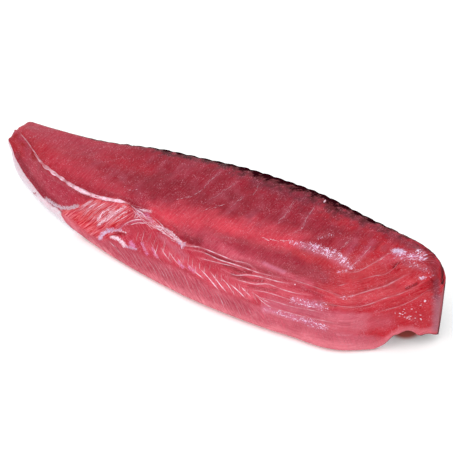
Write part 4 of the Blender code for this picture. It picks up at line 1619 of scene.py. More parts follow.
def skin_sheet(surface):
    """Points, faces and values of the thin sheet of skin."""
    along = stations_along(SKIN_STATIONS)
    metres = along * LENGTH
    rim_edge = RIM_PLACE - SKIN_RIM_OVERLAP + SKIN_RAGGED * clouds(metres, 0.5, SKIN_RAGS, seed=61)
    stations, edges = np.array(SKIN_FRONT_EDGE).T
    torn = SKIN_RAGGED * clouds(metres, 0.5, SKIN_TEARS, seed=63)
    front_edge = 1.0 + curve_through(stations, edges, along) + torn
    share = np.linspace(0.0, 1.0, SKIN_COLUMNS)
    places = rim_edge[:, None] * (1 - share) + front_edge[:, None] * share
    plain = part_sections(along, places)
    normals = outward(plain, False)
    edge = np.minimum(share, 1 - share) / SKIN_EDGE_SHARE
    thickness = SKIN_THICKNESS * np.sqrt(np.clip(edge, SKIN_THINNEST, 1.0))
    outer = plain + normals * SKIN_PROUD
    inner = plain + normals * (SKIN_PROUD - thickness)[:, None]
    outer[..., 1] = np.maximum(outer[..., 1], 0.0)
    inner[..., 1] = np.maximum(inner[..., 1], outer[..., 1] + SKIN_LEAST)
    inner[..., 1] = np.where(plain[..., 1] > SKIN_THICKNESS * 2, plain[..., 1], inner[..., 1])
    points = with_length(along, np.concatenate([outer, inner[:, ::-1]], axis=1)) + surface.shift

    columns = 2 * SKIN_COLUMNS
    faces = loft_faces(SKIN_STATIONS, columns)
    for row in (0, SKIN_STATIONS - 1):
        first = row * columns
        for k in range(SKIN_COLUMNS - 1):
            corners = [first + k, first + k + 1, first + columns - 2 - k, first + columns - 1 - k]
            faces.append(corners if row == 0 else corners[::-1])

    both = np.concatenate([places, places[:, ::-1]], axis=1)
    both_share = np.concatenate([share, share[::-1]])
    length = np.broadcast_to(metres[:, None], both.shape)
    return points, faces, {
        "place": points,
        "skin_map": np.stack([length, both * GIRTH, np.zeros_like(both)], axis=-1),
        "belly": ease(both, BELLY_FROM, BELLY_TO),
        "cut_edge": np.broadcast_to(ease(both_share, *CUT_EDGE), both.shape),
        "rim_edge": np.broadcast_to(1 - ease(both_share, *RIM_EDGE), both.shape),
        # Painted shade: the roof of the hollow under the head end is darkened
        "hollow": ease(along, *HOLLOW_START)[:, None] * ease(both, *HOLLOW_AROUND),
        "film": blotted(in_photo(points), END_FILM) * ease(along, *END_FILM_FROM)[:, None],
    }


# Materials


class Nodes:
    """Adds and links nodes of one node tree."""

    def __init__(self, tree):
        self.tree = tree

    def add(self, kind, **settings):
        node = self.tree.nodes.new(kind)
        for name, value in settings.items():
            setattr(node, name, value)
        return node

    def feed(self, socket, value):
        """Links a socket to an output, or sets its value."""
        if isinstance(value, bpy.types.NodeSocket):
            self.tree.links.new(value, socket)
        elif socket.type == "RGBA":
            socket.default_value = (*value, 1.0)
        else:
            socket.default_value = value

    def math(self, operation, first, second):
        node = self.add("ShaderNodeMath", operation=operation)
        self.feed(node.inputs[0], first)
        self.feed(node.inputs[1], second)
        return node.outputs[0]

    def plus(self, first, second):
        return self.math("ADD", first, second)

    def minus(self, first, second):
        return self.math("SUBTRACT", first, second)

    def times(self, first, second):
        return self.math("MULTIPLY", first, second)

    def mix(self, share, first, second):
        node = self.add("ShaderNodeMix", data_type="RGBA")
        self.feed(node.inputs["Factor"], share)
        self.feed(node.inputs["A"], first)
        self.feed(node.inputs["B"], second)
        return node.outputs["Result"]

    def rescale(self, value, low, high, to_low=0.0, to_high=1.0):
        node = self.add("ShaderNodeMapRange", interpolation_type="SMOOTHSTEP")
        for name, number in zip(("Value", "From Min", "From Max", "To Min", "To Max"),
                                (value, low, high, to_low, to_high)):
            self.feed(node.inputs[name], number)
        return node.outputs["Result"]

    def noise(self, place, lump, detail=2.0, roughness=0.5):
        """Noise between 0 and 1 with lumps of about the given measure in metres."""
        node = self.add("ShaderNodeTexNoise")
        self.feed(node.inputs["Vector"], place)
        self.feed(node.inputs["Detail"], detail)
        self.feed(node.inputs["Roughness"], roughness)
        if isinstance(lump, bpy.types.NodeSocket):
            lump = self.math("DIVIDE", 1.0, lump)
        else:
            lump = 1.0 / lump
        self.feed(node.inputs["Scale"], lump)
        return node.outputs["Fac"]

    def field(self, name, output="Fac"):
        """A value that each point of the mesh holds."""
        return self.add("ShaderNodeAttribute", attribute_name=name).outputs[output]

    def stretched(self, place, scale):
        """A place scaled along each of its axes."""
        scaled = self.add("ShaderNodeVectorMath", operation="MULTIPLY")
        self.feed(scaled.inputs[0], place)
        self.feed(scaled.inputs[1], scale)
        return scaled.outputs["Vector"]


def new_group(name, inputs, outputs):
    """A shader node group with named sockets, and helpers for what is inside it."""
    tree = bpy.data.node_groups.new(name, "ShaderNodeTree")
    for socket_name, kind, value in inputs:
        socket = tree.interface.new_socket(socket_name, in_out="INPUT", socket_type=kind)
        if value is not None:
            socket.default_value = value
    for socket_name, kind in outputs:
        tree.interface.new_socket(socket_name, in_out="OUTPUT", socket_type=kind)
    nodes = Nodes(tree)
    return tree, nodes, nodes.add("NodeGroupInput").outputs, nodes.add("NodeGroupOutput").inputs


@lru_cache(maxsize=None)
def muscle_grain():
    """Group: mottling and fibres of raw muscle, as a colour and a height, and fine specks that are painted
    glints.
    """
    tree, nodes, given, out = new_group("muscle_grain", (
        ("Colour", "NodeSocketColor", (0.4, 0.05, 0.06, 1.0)),
        ("Place", "NodeSocketVector", None),
        ("Map", "NodeSocketVector", None),
        ("Mottle", "NodeSocketFloat", 0.2),
        ("Fibres", "NodeSocketFloat", 0.2),
    ), (
        ("Colour", "NodeSocketColor"),
        ("Height", "NodeSocketFloat"),
        ("Glint specks", "NodeSocketFloat"),
    ))
    broad = nodes.noise(given["Place"], *BROAD_NOISE)
    close = nodes.noise(given["Place"], *CLOSE_NOISE)
    stretched = nodes.stretched(given["Map"], FIBRE_STRETCH)
    fibres = nodes.noise(stretched, *FIBRE_NOISE)
    blend = nodes.plus(nodes.times(broad, BROAD_SHARE), nodes.times(close, 1 - BROAD_SHARE))
    light = nodes.times(nodes.minus(blend, 0.5), given["Mottle"])
    streaks = nodes.times(nodes.minus(fibres, 0.5), given["Fibres"])
    value = nodes.plus(1.0, nodes.plus(light, streaks))
    shade = nodes.add("ShaderNodeHueSaturation")
    nodes.feed(shade.inputs["Color"], given["Colour"])
    nodes.feed(shade.inputs["Value"], value)
    nodes.feed(shade.inputs["Saturation"], nodes.minus(1.0, nodes.times(streaks, STREAK_PALING)))
    nodes.feed(out["Colour"], shade.outputs["Color"])
    nodes.feed(out["Height"], nodes.plus(fibres, nodes.times(close, CLOSE_RELIEF)))
    # Fine specks that are painted glints
    hatch = nodes.noise(nodes.stretched(given["Map"], HATCH_STRETCH), *HATCH_NOISE)
    clusters = nodes.rescale(nodes.noise(given["Place"], *CLUSTER_NOISE), *CLUSTERS)
    lift = nodes.plus(hatch, nodes.times(clusters, GLINT_SPECK_CROWDING))
    nodes.feed(out["Glint specks"], nodes.rescale(lift, *GLINT_SPECKS_SHOW))
    return tree


@lru_cache(maxsize=None)
def painted_glints():
    """Group: painted highlights, small bright glints of a wet surface, where the amount is high."""
    tree, nodes, given, out = new_group("painted_glints", (
        ("Place", "NodeSocketVector", None),
        ("Amount", "NodeSocketFloat", 0.0),
        ("Speckle", "NodeSocketFloat", 0.0012),
    ), (
        ("Mask", "NodeSocketFloat"),
    ))
    fine = nodes.noise(given["Place"], given["Speckle"], 2.0, 0.65)
    clusters = nodes.rescale(nodes.noise(given["Place"], *GLINT_CLUSTER_NOISE), *GLINT_CLUSTERS)
    reach = nodes.times(given["Amount"], clusters)
    edge = nodes.minus(GLINT_LEVEL, nodes.times(reach, GLINT_SPREADING))
    over = nodes.times(nodes.minus(fine, edge), GLINT_CRISPNESS)
    mask = nodes.rescale(over, 0.0, 1.0)
    shown = nodes.times(mask, nodes.rescale(given["Amount"], *GLINT_SHOWS))
    nodes.feed(out["Mask"], shown)
    return tree


def new_material(name):
    """An empty node material with its shader."""
    material = bpy.data.materials.new(name)
    material.use_nodes = True
    material.node_tree.nodes.clear()
    nodes = Nodes(material.node_tree)
    shader = nodes.add("ShaderNodeBsdfPrincipled")
    surface = nodes.add("ShaderNodeOutputMaterial")
    nodes.feed(surface.inputs["Surface"], shader.outputs["BSDF"])
    return material, nodes, shader


def place_group(nodes, tree, **values):
    """Puts a node group into a material, with its inputs set or linked."""
    group = nodes.add("ShaderNodeGroup", node_tree=tree)
    for name, value in values.items():
        nodes.feed(group.inputs[name.replace("_", " ")], value)
    return group.outputs


def add_bump(nodes, shader, height, depth):
    """Bumps the shader's surface by a height that spans the given depth in metres."""
    bump = nodes.add("ShaderNodeBump")
    nodes.feed(bump.inputs["Height"], height)
    nodes.feed(bump.inputs["Distance"], depth)
    nodes.feed(shader.inputs["Normal"], bump.outputs["Normal"])


def flesh_material(look):
    """Moist raw muscle: tinted zones with painted light and shade, mottling, fibres, a dark rim, painted wet
    glints and fine painted glint specks.
    """
    material, nodes, shader = new_material("raw_muscle")
    place = nodes.field("place", "Vector")
    grain_place = nodes.field("grain_map", "Vector")
    shown = nodes.times(nodes.field("fibre_amount"), look.fibres)
    grain = place_group(
        nodes, muscle_grain(), Colour=nodes.field("tint", "Color"), Place=place,
        Map=grain_place, Mottle=look.mottle, Fibres=shown,
    )
    specks = nodes.noise(place, *SPECK_NOISE)
    blots = nodes.plus(nodes.field("rim_dark"), nodes.times(specks, RIM_SPECKS))
    rim = nodes.rescale(blots, *RIM_SHOWS)
    # Painted glint specks all over the flesh
    glint_specks = nodes.times(grain["Glint specks"], look.glint_specks)
    colour = nodes.mix(glint_specks, grain["Colour"], look.glint_speck_pink)
    colour = nodes.mix(rim, colour, look.rim_dark)
    shreds = nodes.noise(nodes.stretched(grain_place, PATCH_STRETCH), *SHRED_NOISE)
    patch = nodes.plus(nodes.times(nodes.field("patch"), PATCH_FILL), shreds)
    patch = nodes.rescale(patch, PATCH_EDGE, PATCH_EDGE + PATCH_SOFTNESS, 0.0, PATCH_OPACITY)
    patch = nodes.times(patch, nodes.rescale(nodes.field("patch"), *PATCH_SHOWS))
    colour = nodes.mix(patch, colour, nodes.field("patch_tint", "Color"))
    # Painted wet glints: pale specks in the base colour
    glint = place_group(
        nodes, painted_glints(), Place=nodes.stretched(grain_place, GLINT_STRETCH),
        Amount=nodes.field("wet"), Speckle=look.speckle,
    )["Mask"]
    shine = nodes.mix(nodes.rescale(specks, *GLINT_TONES), look.film_and_glint_lilac, look.glint)
    colour = nodes.mix(nodes.times(glint, GLINT_OPACITY), colour, shine)
    nodes.feed(shader.inputs["Base Color"], colour)
    wet = nodes.field("wet")
    nodes.feed(shader.inputs["Roughness"], nodes.minus(look.roughness, nodes.times(wet, WET_SMOOTHING)))
    coat = nodes.plus(look.coat, nodes.times(wet, WET_COATING))
    nodes.feed(shader.inputs["Coat Weight"], nodes.times(coat, nodes.minus(1.0, rim)))
    shader.inputs["Specular IOR Level"].default_value = look.specular
    shader.inputs["Coat Roughness"].default_value = look.coat_roughness
    add_bump(nodes, shader, grain["Height"], FLESH_BUMP)
    return material


def skin_material(look):
    """Moist fish skin: blue-black along the back, silver grey towards the belly, finely scaled."""
    material, nodes, shader = new_material("tuna_skin")
    place = nodes.field("place", "Vector")
    skin_map = nodes.field("skin_map", "Vector")
    scales = nodes.add("ShaderNodeTexVoronoi", feature="DISTANCE_TO_EDGE")
    nodes.feed(scales.inputs["Vector"], nodes.stretched(skin_map, SCALE_STRETCH))
    nodes.feed(scales.inputs["Scale"], 1 / SCALE_SIZE)
    broad = nodes.noise(place, *SKIN_BROAD_NOISE)
    close = nodes.noise(place, *SKIN_CLOSE_NOISE)
    broad_share = nodes.times(broad, BELLY_UNEVEN)
    belly = nodes.rescale(nodes.plus(nodes.field("belly"), broad_share), *BELLY_SHOWS)
    dark_share = nodes.minus(1.0, nodes.times(belly, BELLY_CLEARING))
    colour = nodes.mix(belly, look.back, look.belly)
    sheen = nodes.times(nodes.rescale(broad, *STEEL_SHOWS), dark_share)
    colour = nodes.mix(sheen, colour, look.steel)
    mottle = nodes.times(nodes.rescale(close, *DARK_MOTTLE), dark_share)
    colour = nodes.mix(mottle, colour, look.back)
    rosy = nodes.times(nodes.field("cut_edge"), nodes.rescale(close, *TORN_SHOWS))
    colour = nodes.mix(rosy, colour, look.torn)
    colour = nodes.mix(nodes.field("rim_edge"), colour, look.rim_edge)
    # Painted shade on the roof of the hollow under the head end
    colour = nodes.mix(nodes.field("hollow"), colour, look.hollow)
    colour = nodes.mix(nodes.field("film"), colour, look.film)
    nodes.feed(shader.inputs["Base Color"], colour)
    shader.inputs["Roughness"].default_value = look.roughness
    shader.inputs["Specular IOR Level"].default_value = 0.0
    away = nodes.minus(1.0, nodes.field("rim_edge"))
    nodes.feed(shader.inputs["Coat Weight"], nodes.times(look.coat, away))
    shader.inputs["Coat Roughness"].default_value = SKIN_COAT_ROUGHNESS
    lines = nodes.rescale(scales.outputs["Distance"], *SCALE_LINES)
    add_bump(nodes, shader, nodes.plus(lines, close), SKIN_BUMP)
    return material


def tissue_material(name, look):
    """Wet white connective tissue, which takes the flesh's colour where it thins out."""
    material, nodes, shader = new_material(name)
    place = nodes.field("place", "Vector")
    close = nodes.noise(place, *TISSUE_NOISE)
    amount = nodes.times(nodes.field("tissue"), nodes.rescale(close, *TISSUE_SHOWS))
    white = nodes.mix(nodes.rescale(close, *TISSUE_TONES), look.tissue, look.tissue_rosy)
    colour = nodes.mix(amount, nodes.field("tint", "Color"), white)
    nodes.feed(shader.inputs["Base Color"], colour)
    shader.inputs["Roughness"].default_value = look.roughness
    shader.inputs["Coat Weight"].default_value = TISSUE_COAT
    shader.inputs["Coat Roughness"].default_value = look.coat_roughness
    add_bump(nodes, shader, close, TISSUE_BUMP)
    return material


def floor_material(look):
    """White floor with a painted shadow in the hollow under the head end."""
    material, nodes, shader = new_material("floor_white")
    reach = nodes.add("ShaderNodeVectorMath", operation="DISTANCE")
    nodes.feed(reach.inputs[0], nodes.add("ShaderNodeTexCoord").outputs["Object"])
    nodes.feed(reach.inputs[1], HOLLOW_SHADOW_MIDDLE)
    hollow_shadow = nodes.rescale(reach.outputs["Value"], HOLLOW_SHADOW_EDGE[1], HOLLOW_SHADOW_EDGE[0], 1.0, 0.0)
    colour = nodes.mix(hollow_shadow, look.floor, look.hollow_shadow)
    nodes.feed(shader.inputs["Base Color"], colour)
    nodes.feed(shader.inputs["Emission Color"], colour)
    shader.inputs["Roughness"].default_value = FLOOR_ROUGHNESS
    shader.inputs["Emission Strength"].default_value = look.floor_glow
    shader.inputs["Specular IOR Level"].default_value = FLOOR_SPECULAR
    return material


# Settings


def tone(name, description, *levels):
    """A colour setting, with its default in a screen's levels."""
    return bpy.props.FloatVectorProperty(
        name=name, description=description, subtype="COLOR", size=3, min=0.0, max=1.0, default=srgb(*levels),
    )


def amount(name, description, default, highest=1.0, **kind):
    """A number setting that starts at 0."""
    return bpy.props.FloatProperty(
        name=name, description=description, default=default, min=0.0, max=highest, **kind,
    )


def angle(name, description, default):
    """An angle setting."""
    return bpy.props.FloatProperty(
        name=name, description=description, default=default, unit="ROTATION", subtype="ANGLE",
    )


class TunaFleshLook(bpy.types.PropertyGroup):
    """Colours and finish of the flesh and its tissue."""

    top_red: tone("Top", "Flesh of the wide top face", 150, 28, 47)
    tail_red: tone("Tail", "Flesh of the tail end", 176, 33, 50)
    # Painted shade along the skin's edge at the tail
    tail_edge_shade: tone("Tail dusk", "Maroon flesh beside the skin's edge at the tail", 128, 26, 42)
    tip_red: tone("Tail tip", "Flesh at the tip of the tail", 168, 24, 34)
    dull_rose: tone("Dull rose", "Paler flesh along the tail's rim", 172, 56, 74)
    warm_rose: tone("Warm rose", "Flesh beside the cord", 186, 58, 74)
    dusk_red: tone("Dusk red", "Darker flesh of the top", 136, 18, 38)
    streak_mauve: tone("Streaks", "Pale streaks across the top", 168, 70, 88)
    purple_shade: tone("Purple shade", "Purple flesh below the rim", 110, 30, 50)
    head_red: tone("Head end", "Flesh of the head end", 182, 35, 48)
    head_rose: tone("Layers", "Lit edges of the head end's layers", 204, 64, 76)
    # Bright band along the crest: partly the flesh's own tone, partly painted light
    crest_lit_red: tone("Crest", "Bright band along the crest", 214, 66, 82)
    # Painted shade with a mauve sheen, below the crest
    scoop_shade_sheen: tone("Scoop", "Dull band below the crest", 176, 62, 80)
    scoop_rose: tone("Scoop's floor", "Paler floor of the scoop", 200, 76, 96)
    # Painted shade, darkest in the scoop's hollow
    scoop_deep_shade: tone("Dusk mauve", "Dark band in the scoop", 158, 40, 58)
    strip_red: tone("Tail strip", "Sunk strip below the cord", 166, 44, 64)
    fan_red: tone("Fan", "Flesh between the fanned muscle lines", 184, 52, 70)
    fan_pink: tone("Fan's rose", "Paler flesh of the fan", 214, 84, 102)
    low_mauve: tone("Low mauve", "Dull flesh below the seam", 176, 68, 84)
    low_pink: tone("Low band", "Flesh along the front's lower half", 194, 84, 101)
    rose_mauve: tone("Rose mauve", "Flesh below the middle layers", 196, 104, 124)
    foot_pink: tone("Foot", "Pale flesh along the bottom edge", 222, 118, 132)
    flap_coral: tone("Flap", "Torn flap of fibres near the tail", 214, 84, 96)
    flap_red: tone("Flap's gaps", "Red gaps between the flap's fibres", 196, 44, 50)
    # Dark red flesh, also the painted shade in slits and above the head end's layers
    deep_red_and_shade: tone("Deep red", "Dark flesh in slits", 118, 14, 26)
    # Painted shade in the gaps between layers
    gap_shade_red: tone("Gaps", "Flesh in the gaps between layers", 128, 16, 32)
    blood: tone("Blood", "Spots of blood", 150, 8, 14)
    grey_mauve: tone("Grey", "Dull film at the head end", 166, 96, 112)
    # Painted wet sheen on the flesh
    wet_sheen_rose: tone("Lilac rose", "Wet film on the flesh", 208, 120, 150)
    # Thin pale film, and a tone of the painted wet glints
    film_and_glint_lilac: tone("Lilac pink", "Thin pale film", 224, 142, 190)
    line_rose: tone("Line rose", "Flesh beside the pale lines", 222, 110, 128)
    silver: tone("Silver film", "Patches of silvery film", 214, 190, 222)
    silver_rose: tone("Rosy silver", "Silver film stained by the flesh", 204, 186, 200)
    rim_dark: tone("Dark rim", "Bloodline specks along the rim", 44, 6, 14)
    rim_maroon: tone("Maroon rim", "Dark flesh along the rim", 90, 15, 25)
    # Purple-grey inside the rim: dark flesh with a painted sheen
    rim_sheen_grey: tone("Purple rim", "Purple-grey flesh inside the rim", 120, 50, 65)
    # Fine pale specks that are painted glints
    glint_speck_pink: tone("Glint specks", "Fine pale specks all over the flesh", 232, 150, 168)
    # Painted wet glints
    glint: tone("Glint", "Wet specks", 244, 218, 246)
    tissue: tone("Tissue", "White connective tissue", 250, 224, 240)
    tissue_rosy: tone("Rosy tissue", "Tissue where flesh shows through", 240, 170, 190)
    roughness: amount("Roughness", "Roughness of the flesh", 0.50)
    specular: amount("Specular", "Strength of the flesh's own reflection", 0.0)
    coat: amount("Wetness", "Weight of the moist coat", 0.40)
    coat_roughness: amount("Coat roughness", "Roughness of the moist coat", 0.30)
    mottle: amount("Mottle", "Strength of the mottling", 0.75, 2.0)
    fibres: amount("Fibres", "Strength of the fibres", 0.95, 2.0)
    # Strength of the painted glint specks
    glint_specks: amount("Frost amount", "Strength of the fine pale specks", 0.40)
    speckle: amount("Speckle", "Measure of the wet specks", 0.0013, unit="LENGTH", subtype="DISTANCE")


class TunaSkinLook(bpy.types.PropertyGroup):
    """Colours and finish of the skin."""

    back: tone("Back", "Skin along the back", 30, 28, 38)
    steel: tone("Steel", "Blue sheen of the skin", 62, 66, 88)
    belly: tone("Belly", "Skin towards the belly", 232, 222, 230)
    rim_edge: tone("Rim", "Skin beside the dark rim", 26, 8, 16)
    # Painted shade on the roof of the hollow under the head end
    hollow: tone("Hollow", "Raw roof of the hollow under the head end", 92, 36, 36)
    film: tone("Film", "Dull film on the skin's end at the head", 150, 84, 98)
    torn: tone("Cut edge", "Skin's cut edge, stained by the flesh", 236, 196, 208)
    roughness: amount("Roughness", "Roughness of the skin", 0.38)
    coat: amount("Wetness", "Weight of the moist coat", 0.60)


class TunaStageLook(bpy.types.PropertyGroup):
    """Floor, light and camera."""

    floor: tone("Floor", "Colour of the floor", 250.463, 250.463, 250.463)
    # Painted shadow on the floor in the hollow under the head end
    hollow_shadow: tone("Damp mark", "Juice on the floor in the hollow", 190, 96, 86)
    floor_glow: amount("Floor's glow", "Light that the lit table gives off", 0.17)
    sky: amount("Sky", "Strength of the even light", 0.74, 10.0)
    sun: amount("Lamp", "Strength of the soft lamp", 1.25, 10.0)
    sun_width: angle("Lamp width", "Width of the soft lamp", math.radians(60.0))
    azimuth: angle("Azimuth", "Camera's turn round the loin", VIEW_AZIMUTH)
    elevation: angle("Elevation", "Camera's angle above the table", VIEW_ELEVATION)
    distance: amount("Distance", "From the camera to the loin", VIEW_DISTANCE, 10.0, unit="LENGTH")
    lens: bpy.props.FloatProperty(name="Lens", description="Focal length", default=VIEW_LENS, unit="CAMERA")


# Operators


class TUNA_OT_flesh(bpy.types.Operator):
    """Builds the flesh, with the relief of its cut faces"""

    bl_idname = "tuna.flesh"
    bl_label = "Flesh"

    def execute(self, context):
        look = context.scene.tuna_flesh
        surface = loin_surface()
        surface.tint = flesh_tints(surface, look)
        patch_tint, patch = patch_layer(surface, look)
        grain, fibre_amount = grain_map(surface)
        grids = {
            "tint": surface.tint,
            "place": surface.points,
            "grain_map": grain,
            "patch_tint": patch_tint,
            **flesh_masks(surface),
            "patch": patch,
            "fibre_amount": fibre_amount,
        }
        shares = np.linspace(1.0, 0.0, CAP_RINGS + 2)[1:-1]
        values = {name: with_ends(np.atleast_3d(grid), shares) for name, grid in grids.items()}
        faces = flesh_mesh(surface)
        piece = add_piece("flesh", values["place"], faces, flesh_material(look), values)
        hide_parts(NODE)
        return {"FINISHED"}


class TUNA_OT_skin(bpy.types.Operator):
    """Builds the skin, a thin sheet over the back and the underside"""

    bl_idname = "tuna.skin"
    bl_label = "Skin"

    def execute(self, context):
        points, faces, values = skin_sheet(loin_surface())
        material = skin_material(context.scene.tuna_skin)
        piece = add_piece("skin", points, faces, material, values)
        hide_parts(NODE)
        return {"FINISHED"}


class TUNA_OT_ridge_cord(bpy.types.Operator):
    """Builds the white cord that runs along the ridge from the tail"""

    bl_idname = "tuna.ridge_cord"
    bl_label = "Ridge cord"

    def execute(self, context):
        surface = loin_surface()
        strands = [
            tissue_strand(surface, path, width, strength, seed, taper, rise)
            for width, strength, taper, rise, seed, path in CORD_STRANDS
        ]
        route = smooth_path(CORD_BRAID, STRAND_STEP)
        across = np.gradient(route, axis=0)[:, ::-1] * np.array([-1.0, 1.0])
        across /= np.linalg.norm(across, axis=-1, keepdims=True)
        share = np.linspace(0.0, 1.0, len(route))
        sway = np.cos(share * math.pi * BRAID_TURNS) * BRAID_SPREAD * (1 - 0.5 * share)
        for seed, side in ((102, -1), (103, 1)):
            path = route + side * across * sway[:, None]
            strands.append(tissue_strand(surface, path, BRAID_WIDTH, BRAID_STRENGTH, seed))
        add_strands("ridge_cord", strands, tissue_material("cord_tissue", context.scene.tuna_flesh))
        return {"FINISHED"}


class TUNA_OT_fascia(bpy.types.Operator):
    """Builds the shreds of white tissue below the cord and on the torn flap"""

    bl_idname = "tuna.fascia"
    bl_label = "Shreds of tissue"

    def execute(self, context):
        surface = loin_surface()
        strands = strokes(surface, FASCIA + FLAP_STREAKS, seed=201)
        draw = np.random.default_rng(7)
        strands += self.flap_fibres(surface, draw)
        for number in range(WEB_COUNT):
            share = (number + draw.uniform(0.2, 0.8)) / WEB_COUNT
            path = between(WEB_LEFT, WEB_RIGHT, share, WEB_POINTS)
            path = path + draw.uniform(-WEB_STRAY, WEB_STRAY, path.shape)
            first = draw.integers(0, WEB_POINTS - WEB_RUN + 1)
            strength = draw.uniform(*WEB_STRENGTHS)
            path = path[first:first + WEB_RUN]
            strands.append(tissue_strand(surface, path, draw.uniform(*WEB_WIDTHS), strength, 900 + number))
        strands += scattered(
            surface, WEB_LEFT, WEB_RIGHT, WEB_CROSS, WEB_WIDTHS, WEB_CROSS_STRENGTHS, draw, seed=920,
        )
        add_strands("fascia", strands, tissue_material("shred_tissue", context.scene.tuna_flesh))
        return {"FINISHED"}

    @staticmethod
    def flap_fibres(surface, draw):
        """Fibres of the torn flap, each between two of its guides."""
        spans = len(FLAP_GUIDES) - 1
        strands = []
        for number in range(FLAP_FIBRES):
            stray = draw.uniform(-FLAP_FIBRE_STRAY, FLAP_FIBRE_STRAY)
            place = min(max((number + stray) / FLAP_FIBRES * spans, 0.0), spans - 1e-3)
            guide = int(place)
            path = between(FLAP_GUIDES[guide], FLAP_GUIDES[guide + 1], place - guide, FLAP_FIBRE_POINTS)
            first, last = sorted(draw.choice(FLAP_FIBRE_POINTS, 2, replace=False))
            if last - first < FLAP_FIBRE_LEAST:
                first, last = 0, FLAP_FIBRE_POINTS - 1
            width = draw.uniform(*FLAP_FIBRE_WIDTHS)
            strength = draw.uniform(*FLAP_FIBRE_STRENGTHS)
            strands.append(tissue_strand(surface, path[first:last + 1], width, strength, 300 + number))
        return strands


class TUNA_OT_muscle_lines(bpy.types.Operator):
    """Builds the pale edges of the muscle layers on the front, the head end and the top"""

    bl_idname = "tuna.muscle_lines"
    bl_label = "Muscle lines"

    def execute(self, context):
        surface = loin_surface()
        strands = strokes(surface, FAN_LINES + SHALLOW_LINES, seed=401)
        strands += strokes(surface, HEAD_ARCS, seed=501)
        draw = np.random.default_rng(9)
        for number, (width, strength, path) in enumerate(TOP_STREAKS):
            strands += flecks_along(surface, path, width, strength, draw, seed=520 + 40 * number)
        strands += self.band_lines(surface, draw)
        strands += scattered(
            surface, FAN_START, FAN_END, FAN_COUNT, FAN_WIDTHS, FAN_STRENGTHS, draw, seed=800,
        )
        add_strands("muscle_lines", strands, tissue_material("line_tissue", context.scene.tuna_flesh))
        return {"FINISHED"}

    @staticmethod
    def band_lines(surface, draw):
        """Fine lines from the seam down to the foot, paler towards the tail."""
        top = smooth_path(BAND_TOP, 1.0)
        foot = smooth_path(BAND_FOOT, 1.0)
        strands = []
        for number in range(BAND_LINES):
            share = (number + draw.uniform(0.2, 0.8)) / BAND_LINES
            start = top[int(share * (len(top) - 1))]
            end = foot[int(min(1.0, share + BAND_LEAN) * (len(foot) - 1))]
            reach = draw.uniform(*BAND_REACH)
            begin = draw.uniform(*BAND_BEGIN)
            bow = np.array(BAND_BOW) * draw.uniform(0.0, BAND_BOW_DEPTH)
            path = bowed(start, end, begin, max(reach, begin + BAND_LEAST), bow)
            width = draw.uniform(*BAND_WIDTHS)
            strength = draw.uniform(*BAND_STRENGTHS) * (1 - ease(start[0], *BAND_FADE))
            strands.append(tissue_strand(surface, path, width, strength, 600 + number))
        return strands


class TUNA_OT_flecks(bpy.types.Operator):
    """Builds the small pale flecks that lie on the cut faces, and pale strands as painted glints at the head
    end
    """

    bl_idname = "tuna.flecks"
    bl_label = "Flecks"

    def execute(self, context):
        surface = loin_surface()
        strands = strokes(surface, PALE_FLECKS, seed=701)
        draw = np.random.default_rng(13)
        # Painted glints: pale strands scattered at the head end
        for number in range(GLINT_COUNT):
            spot = np.array(GLINT_MIDDLE) + draw.normal(0.0, GLINT_CROWD, 2) * np.array(GLINT_SPREAD)
            way = np.array([draw.uniform(*GLINT_RUN), draw.uniform(*GLINT_RISE)])
            width = draw.uniform(*GLINT_WIDTHS)
            strength = draw.uniform(*GLINT_STRENGTHS)
            ends = (spot - way, spot, spot + way)
            strands.append(tissue_strand(surface, ends, width, strength, 720 + number))
        add_strands("pale_flecks", strands, tissue_material("fleck_tissue", context.scene.tuna_flesh))
        return {"FINISHED"}


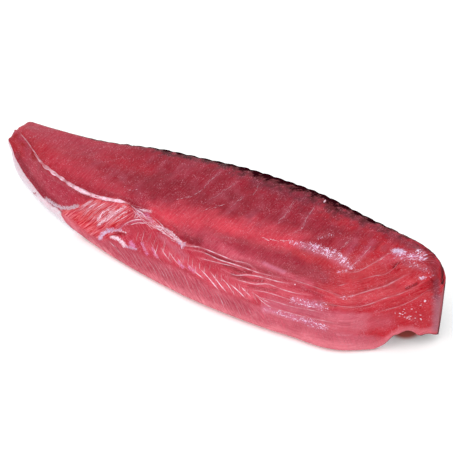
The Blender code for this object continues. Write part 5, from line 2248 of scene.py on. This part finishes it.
class TUNA_OT_stage(bpy.types.Operator):
    """Sets up the pale floor, the soft light and the camera"""

    bl_idname = "tuna.stage"
    bl_label = "Stage"

    def execute(self, context):
        look = context.scene.tuna_stage
        scene = context.scene
        bpy.ops.mesh.primitive_plane_add(size=FLOOR_SIZE, location=(0.0, 0.0, -FLOOR_DROP))
        floor = context.object
        floor.name = "floor"
        floor.data.materials.append(floor_material(look))

        scene.world = bpy.data.worlds.new("studio")
        scene.world.use_nodes = True
        background = scene.world.node_tree.nodes["Background"]
        background.inputs["Color"].default_value = (1.0, 1.0, 1.0, 1.0)
        background.inputs["Strength"].default_value = look.sky
        scene.view_settings.view_transform = "Standard"

        lamp = bpy.data.lights.new("soft_lamp", "SUN")
        lamp.energy = look.sun
        lamp.angle = look.sun_width
        self.aim(lamp, SUN_AZIMUTH, SUN_ELEVATION, 1.0)

        camera = bpy.data.cameras.new("camera")
        camera.sensor_width = SENSOR
        camera.lens = look.lens
        scene.camera = self.aim(camera, look.azimuth, look.elevation, look.distance)
        return {"FINISHED"}

    @staticmethod
    def aim(data, azimuth, elevation, distance):
        """Adds a lamp or camera that faces the loin."""
        item = bpy.data.objects.new(data.name, data)
        back = Vector(towards(azimuth, elevation))
        item.location = Vector(VIEW_AIM) + back * distance
        item.rotation_euler = (-back).to_track_quat("-Z", "Y").to_euler()
        bpy.context.scene.collection.objects.link(item)
        return item


class TUNA_PT_loin(bpy.types.Panel):
    """Lists the pieces of the loin"""

    bl_idname = "TUNA_PT_loin"
    bl_label = "Raw tuna loin"
    bl_space_type = "VIEW_3D"
    bl_region_type = "UI"
    bl_category = "Tuna loin"

    def draw(self, context):
        for operator in OPERATORS:
            self.layout.operator(operator.bl_idname)


SETTINGS = (TunaFleshLook, TunaSkinLook, TunaStageLook)
OPERATORS = (
    TUNA_OT_flesh,
    TUNA_OT_skin,
    TUNA_OT_ridge_cord,
    TUNA_OT_fascia,
    TUNA_OT_muscle_lines,
    TUNA_OT_flecks,
    TUNA_OT_stage,
)


def register():
    for item in SETTINGS + OPERATORS + (TUNA_PT_loin,):
        bpy.utils.register_class(item)
    bpy.types.Scene.tuna_flesh = bpy.props.PointerProperty(type=TunaFleshLook)
    bpy.types.Scene.tuna_skin = bpy.props.PointerProperty(type=TunaSkinLook)
    bpy.types.Scene.tuna_stage = bpy.props.PointerProperty(type=TunaStageLook)


def unregister():
    del bpy.types.Scene.tuna_stage
    del bpy.types.Scene.tuna_skin
    del bpy.types.Scene.tuna_flesh
    for item in reversed(SETTINGS + OPERATORS + (TUNA_PT_loin,)):
        bpy.utils.unregister_class(item)


def main():
    """Builds every piece and the stage."""
    register()
    bpy.ops.tuna.flesh()
    bpy.ops.tuna.skin()
    bpy.ops.tuna.ridge_cord()
    bpy.ops.tuna.fascia()
    bpy.ops.tuna.muscle_lines()
    bpy.ops.tuna.flecks()
    bpy.ops.tuna.stage()


if __name__ == "__main__":
    main()
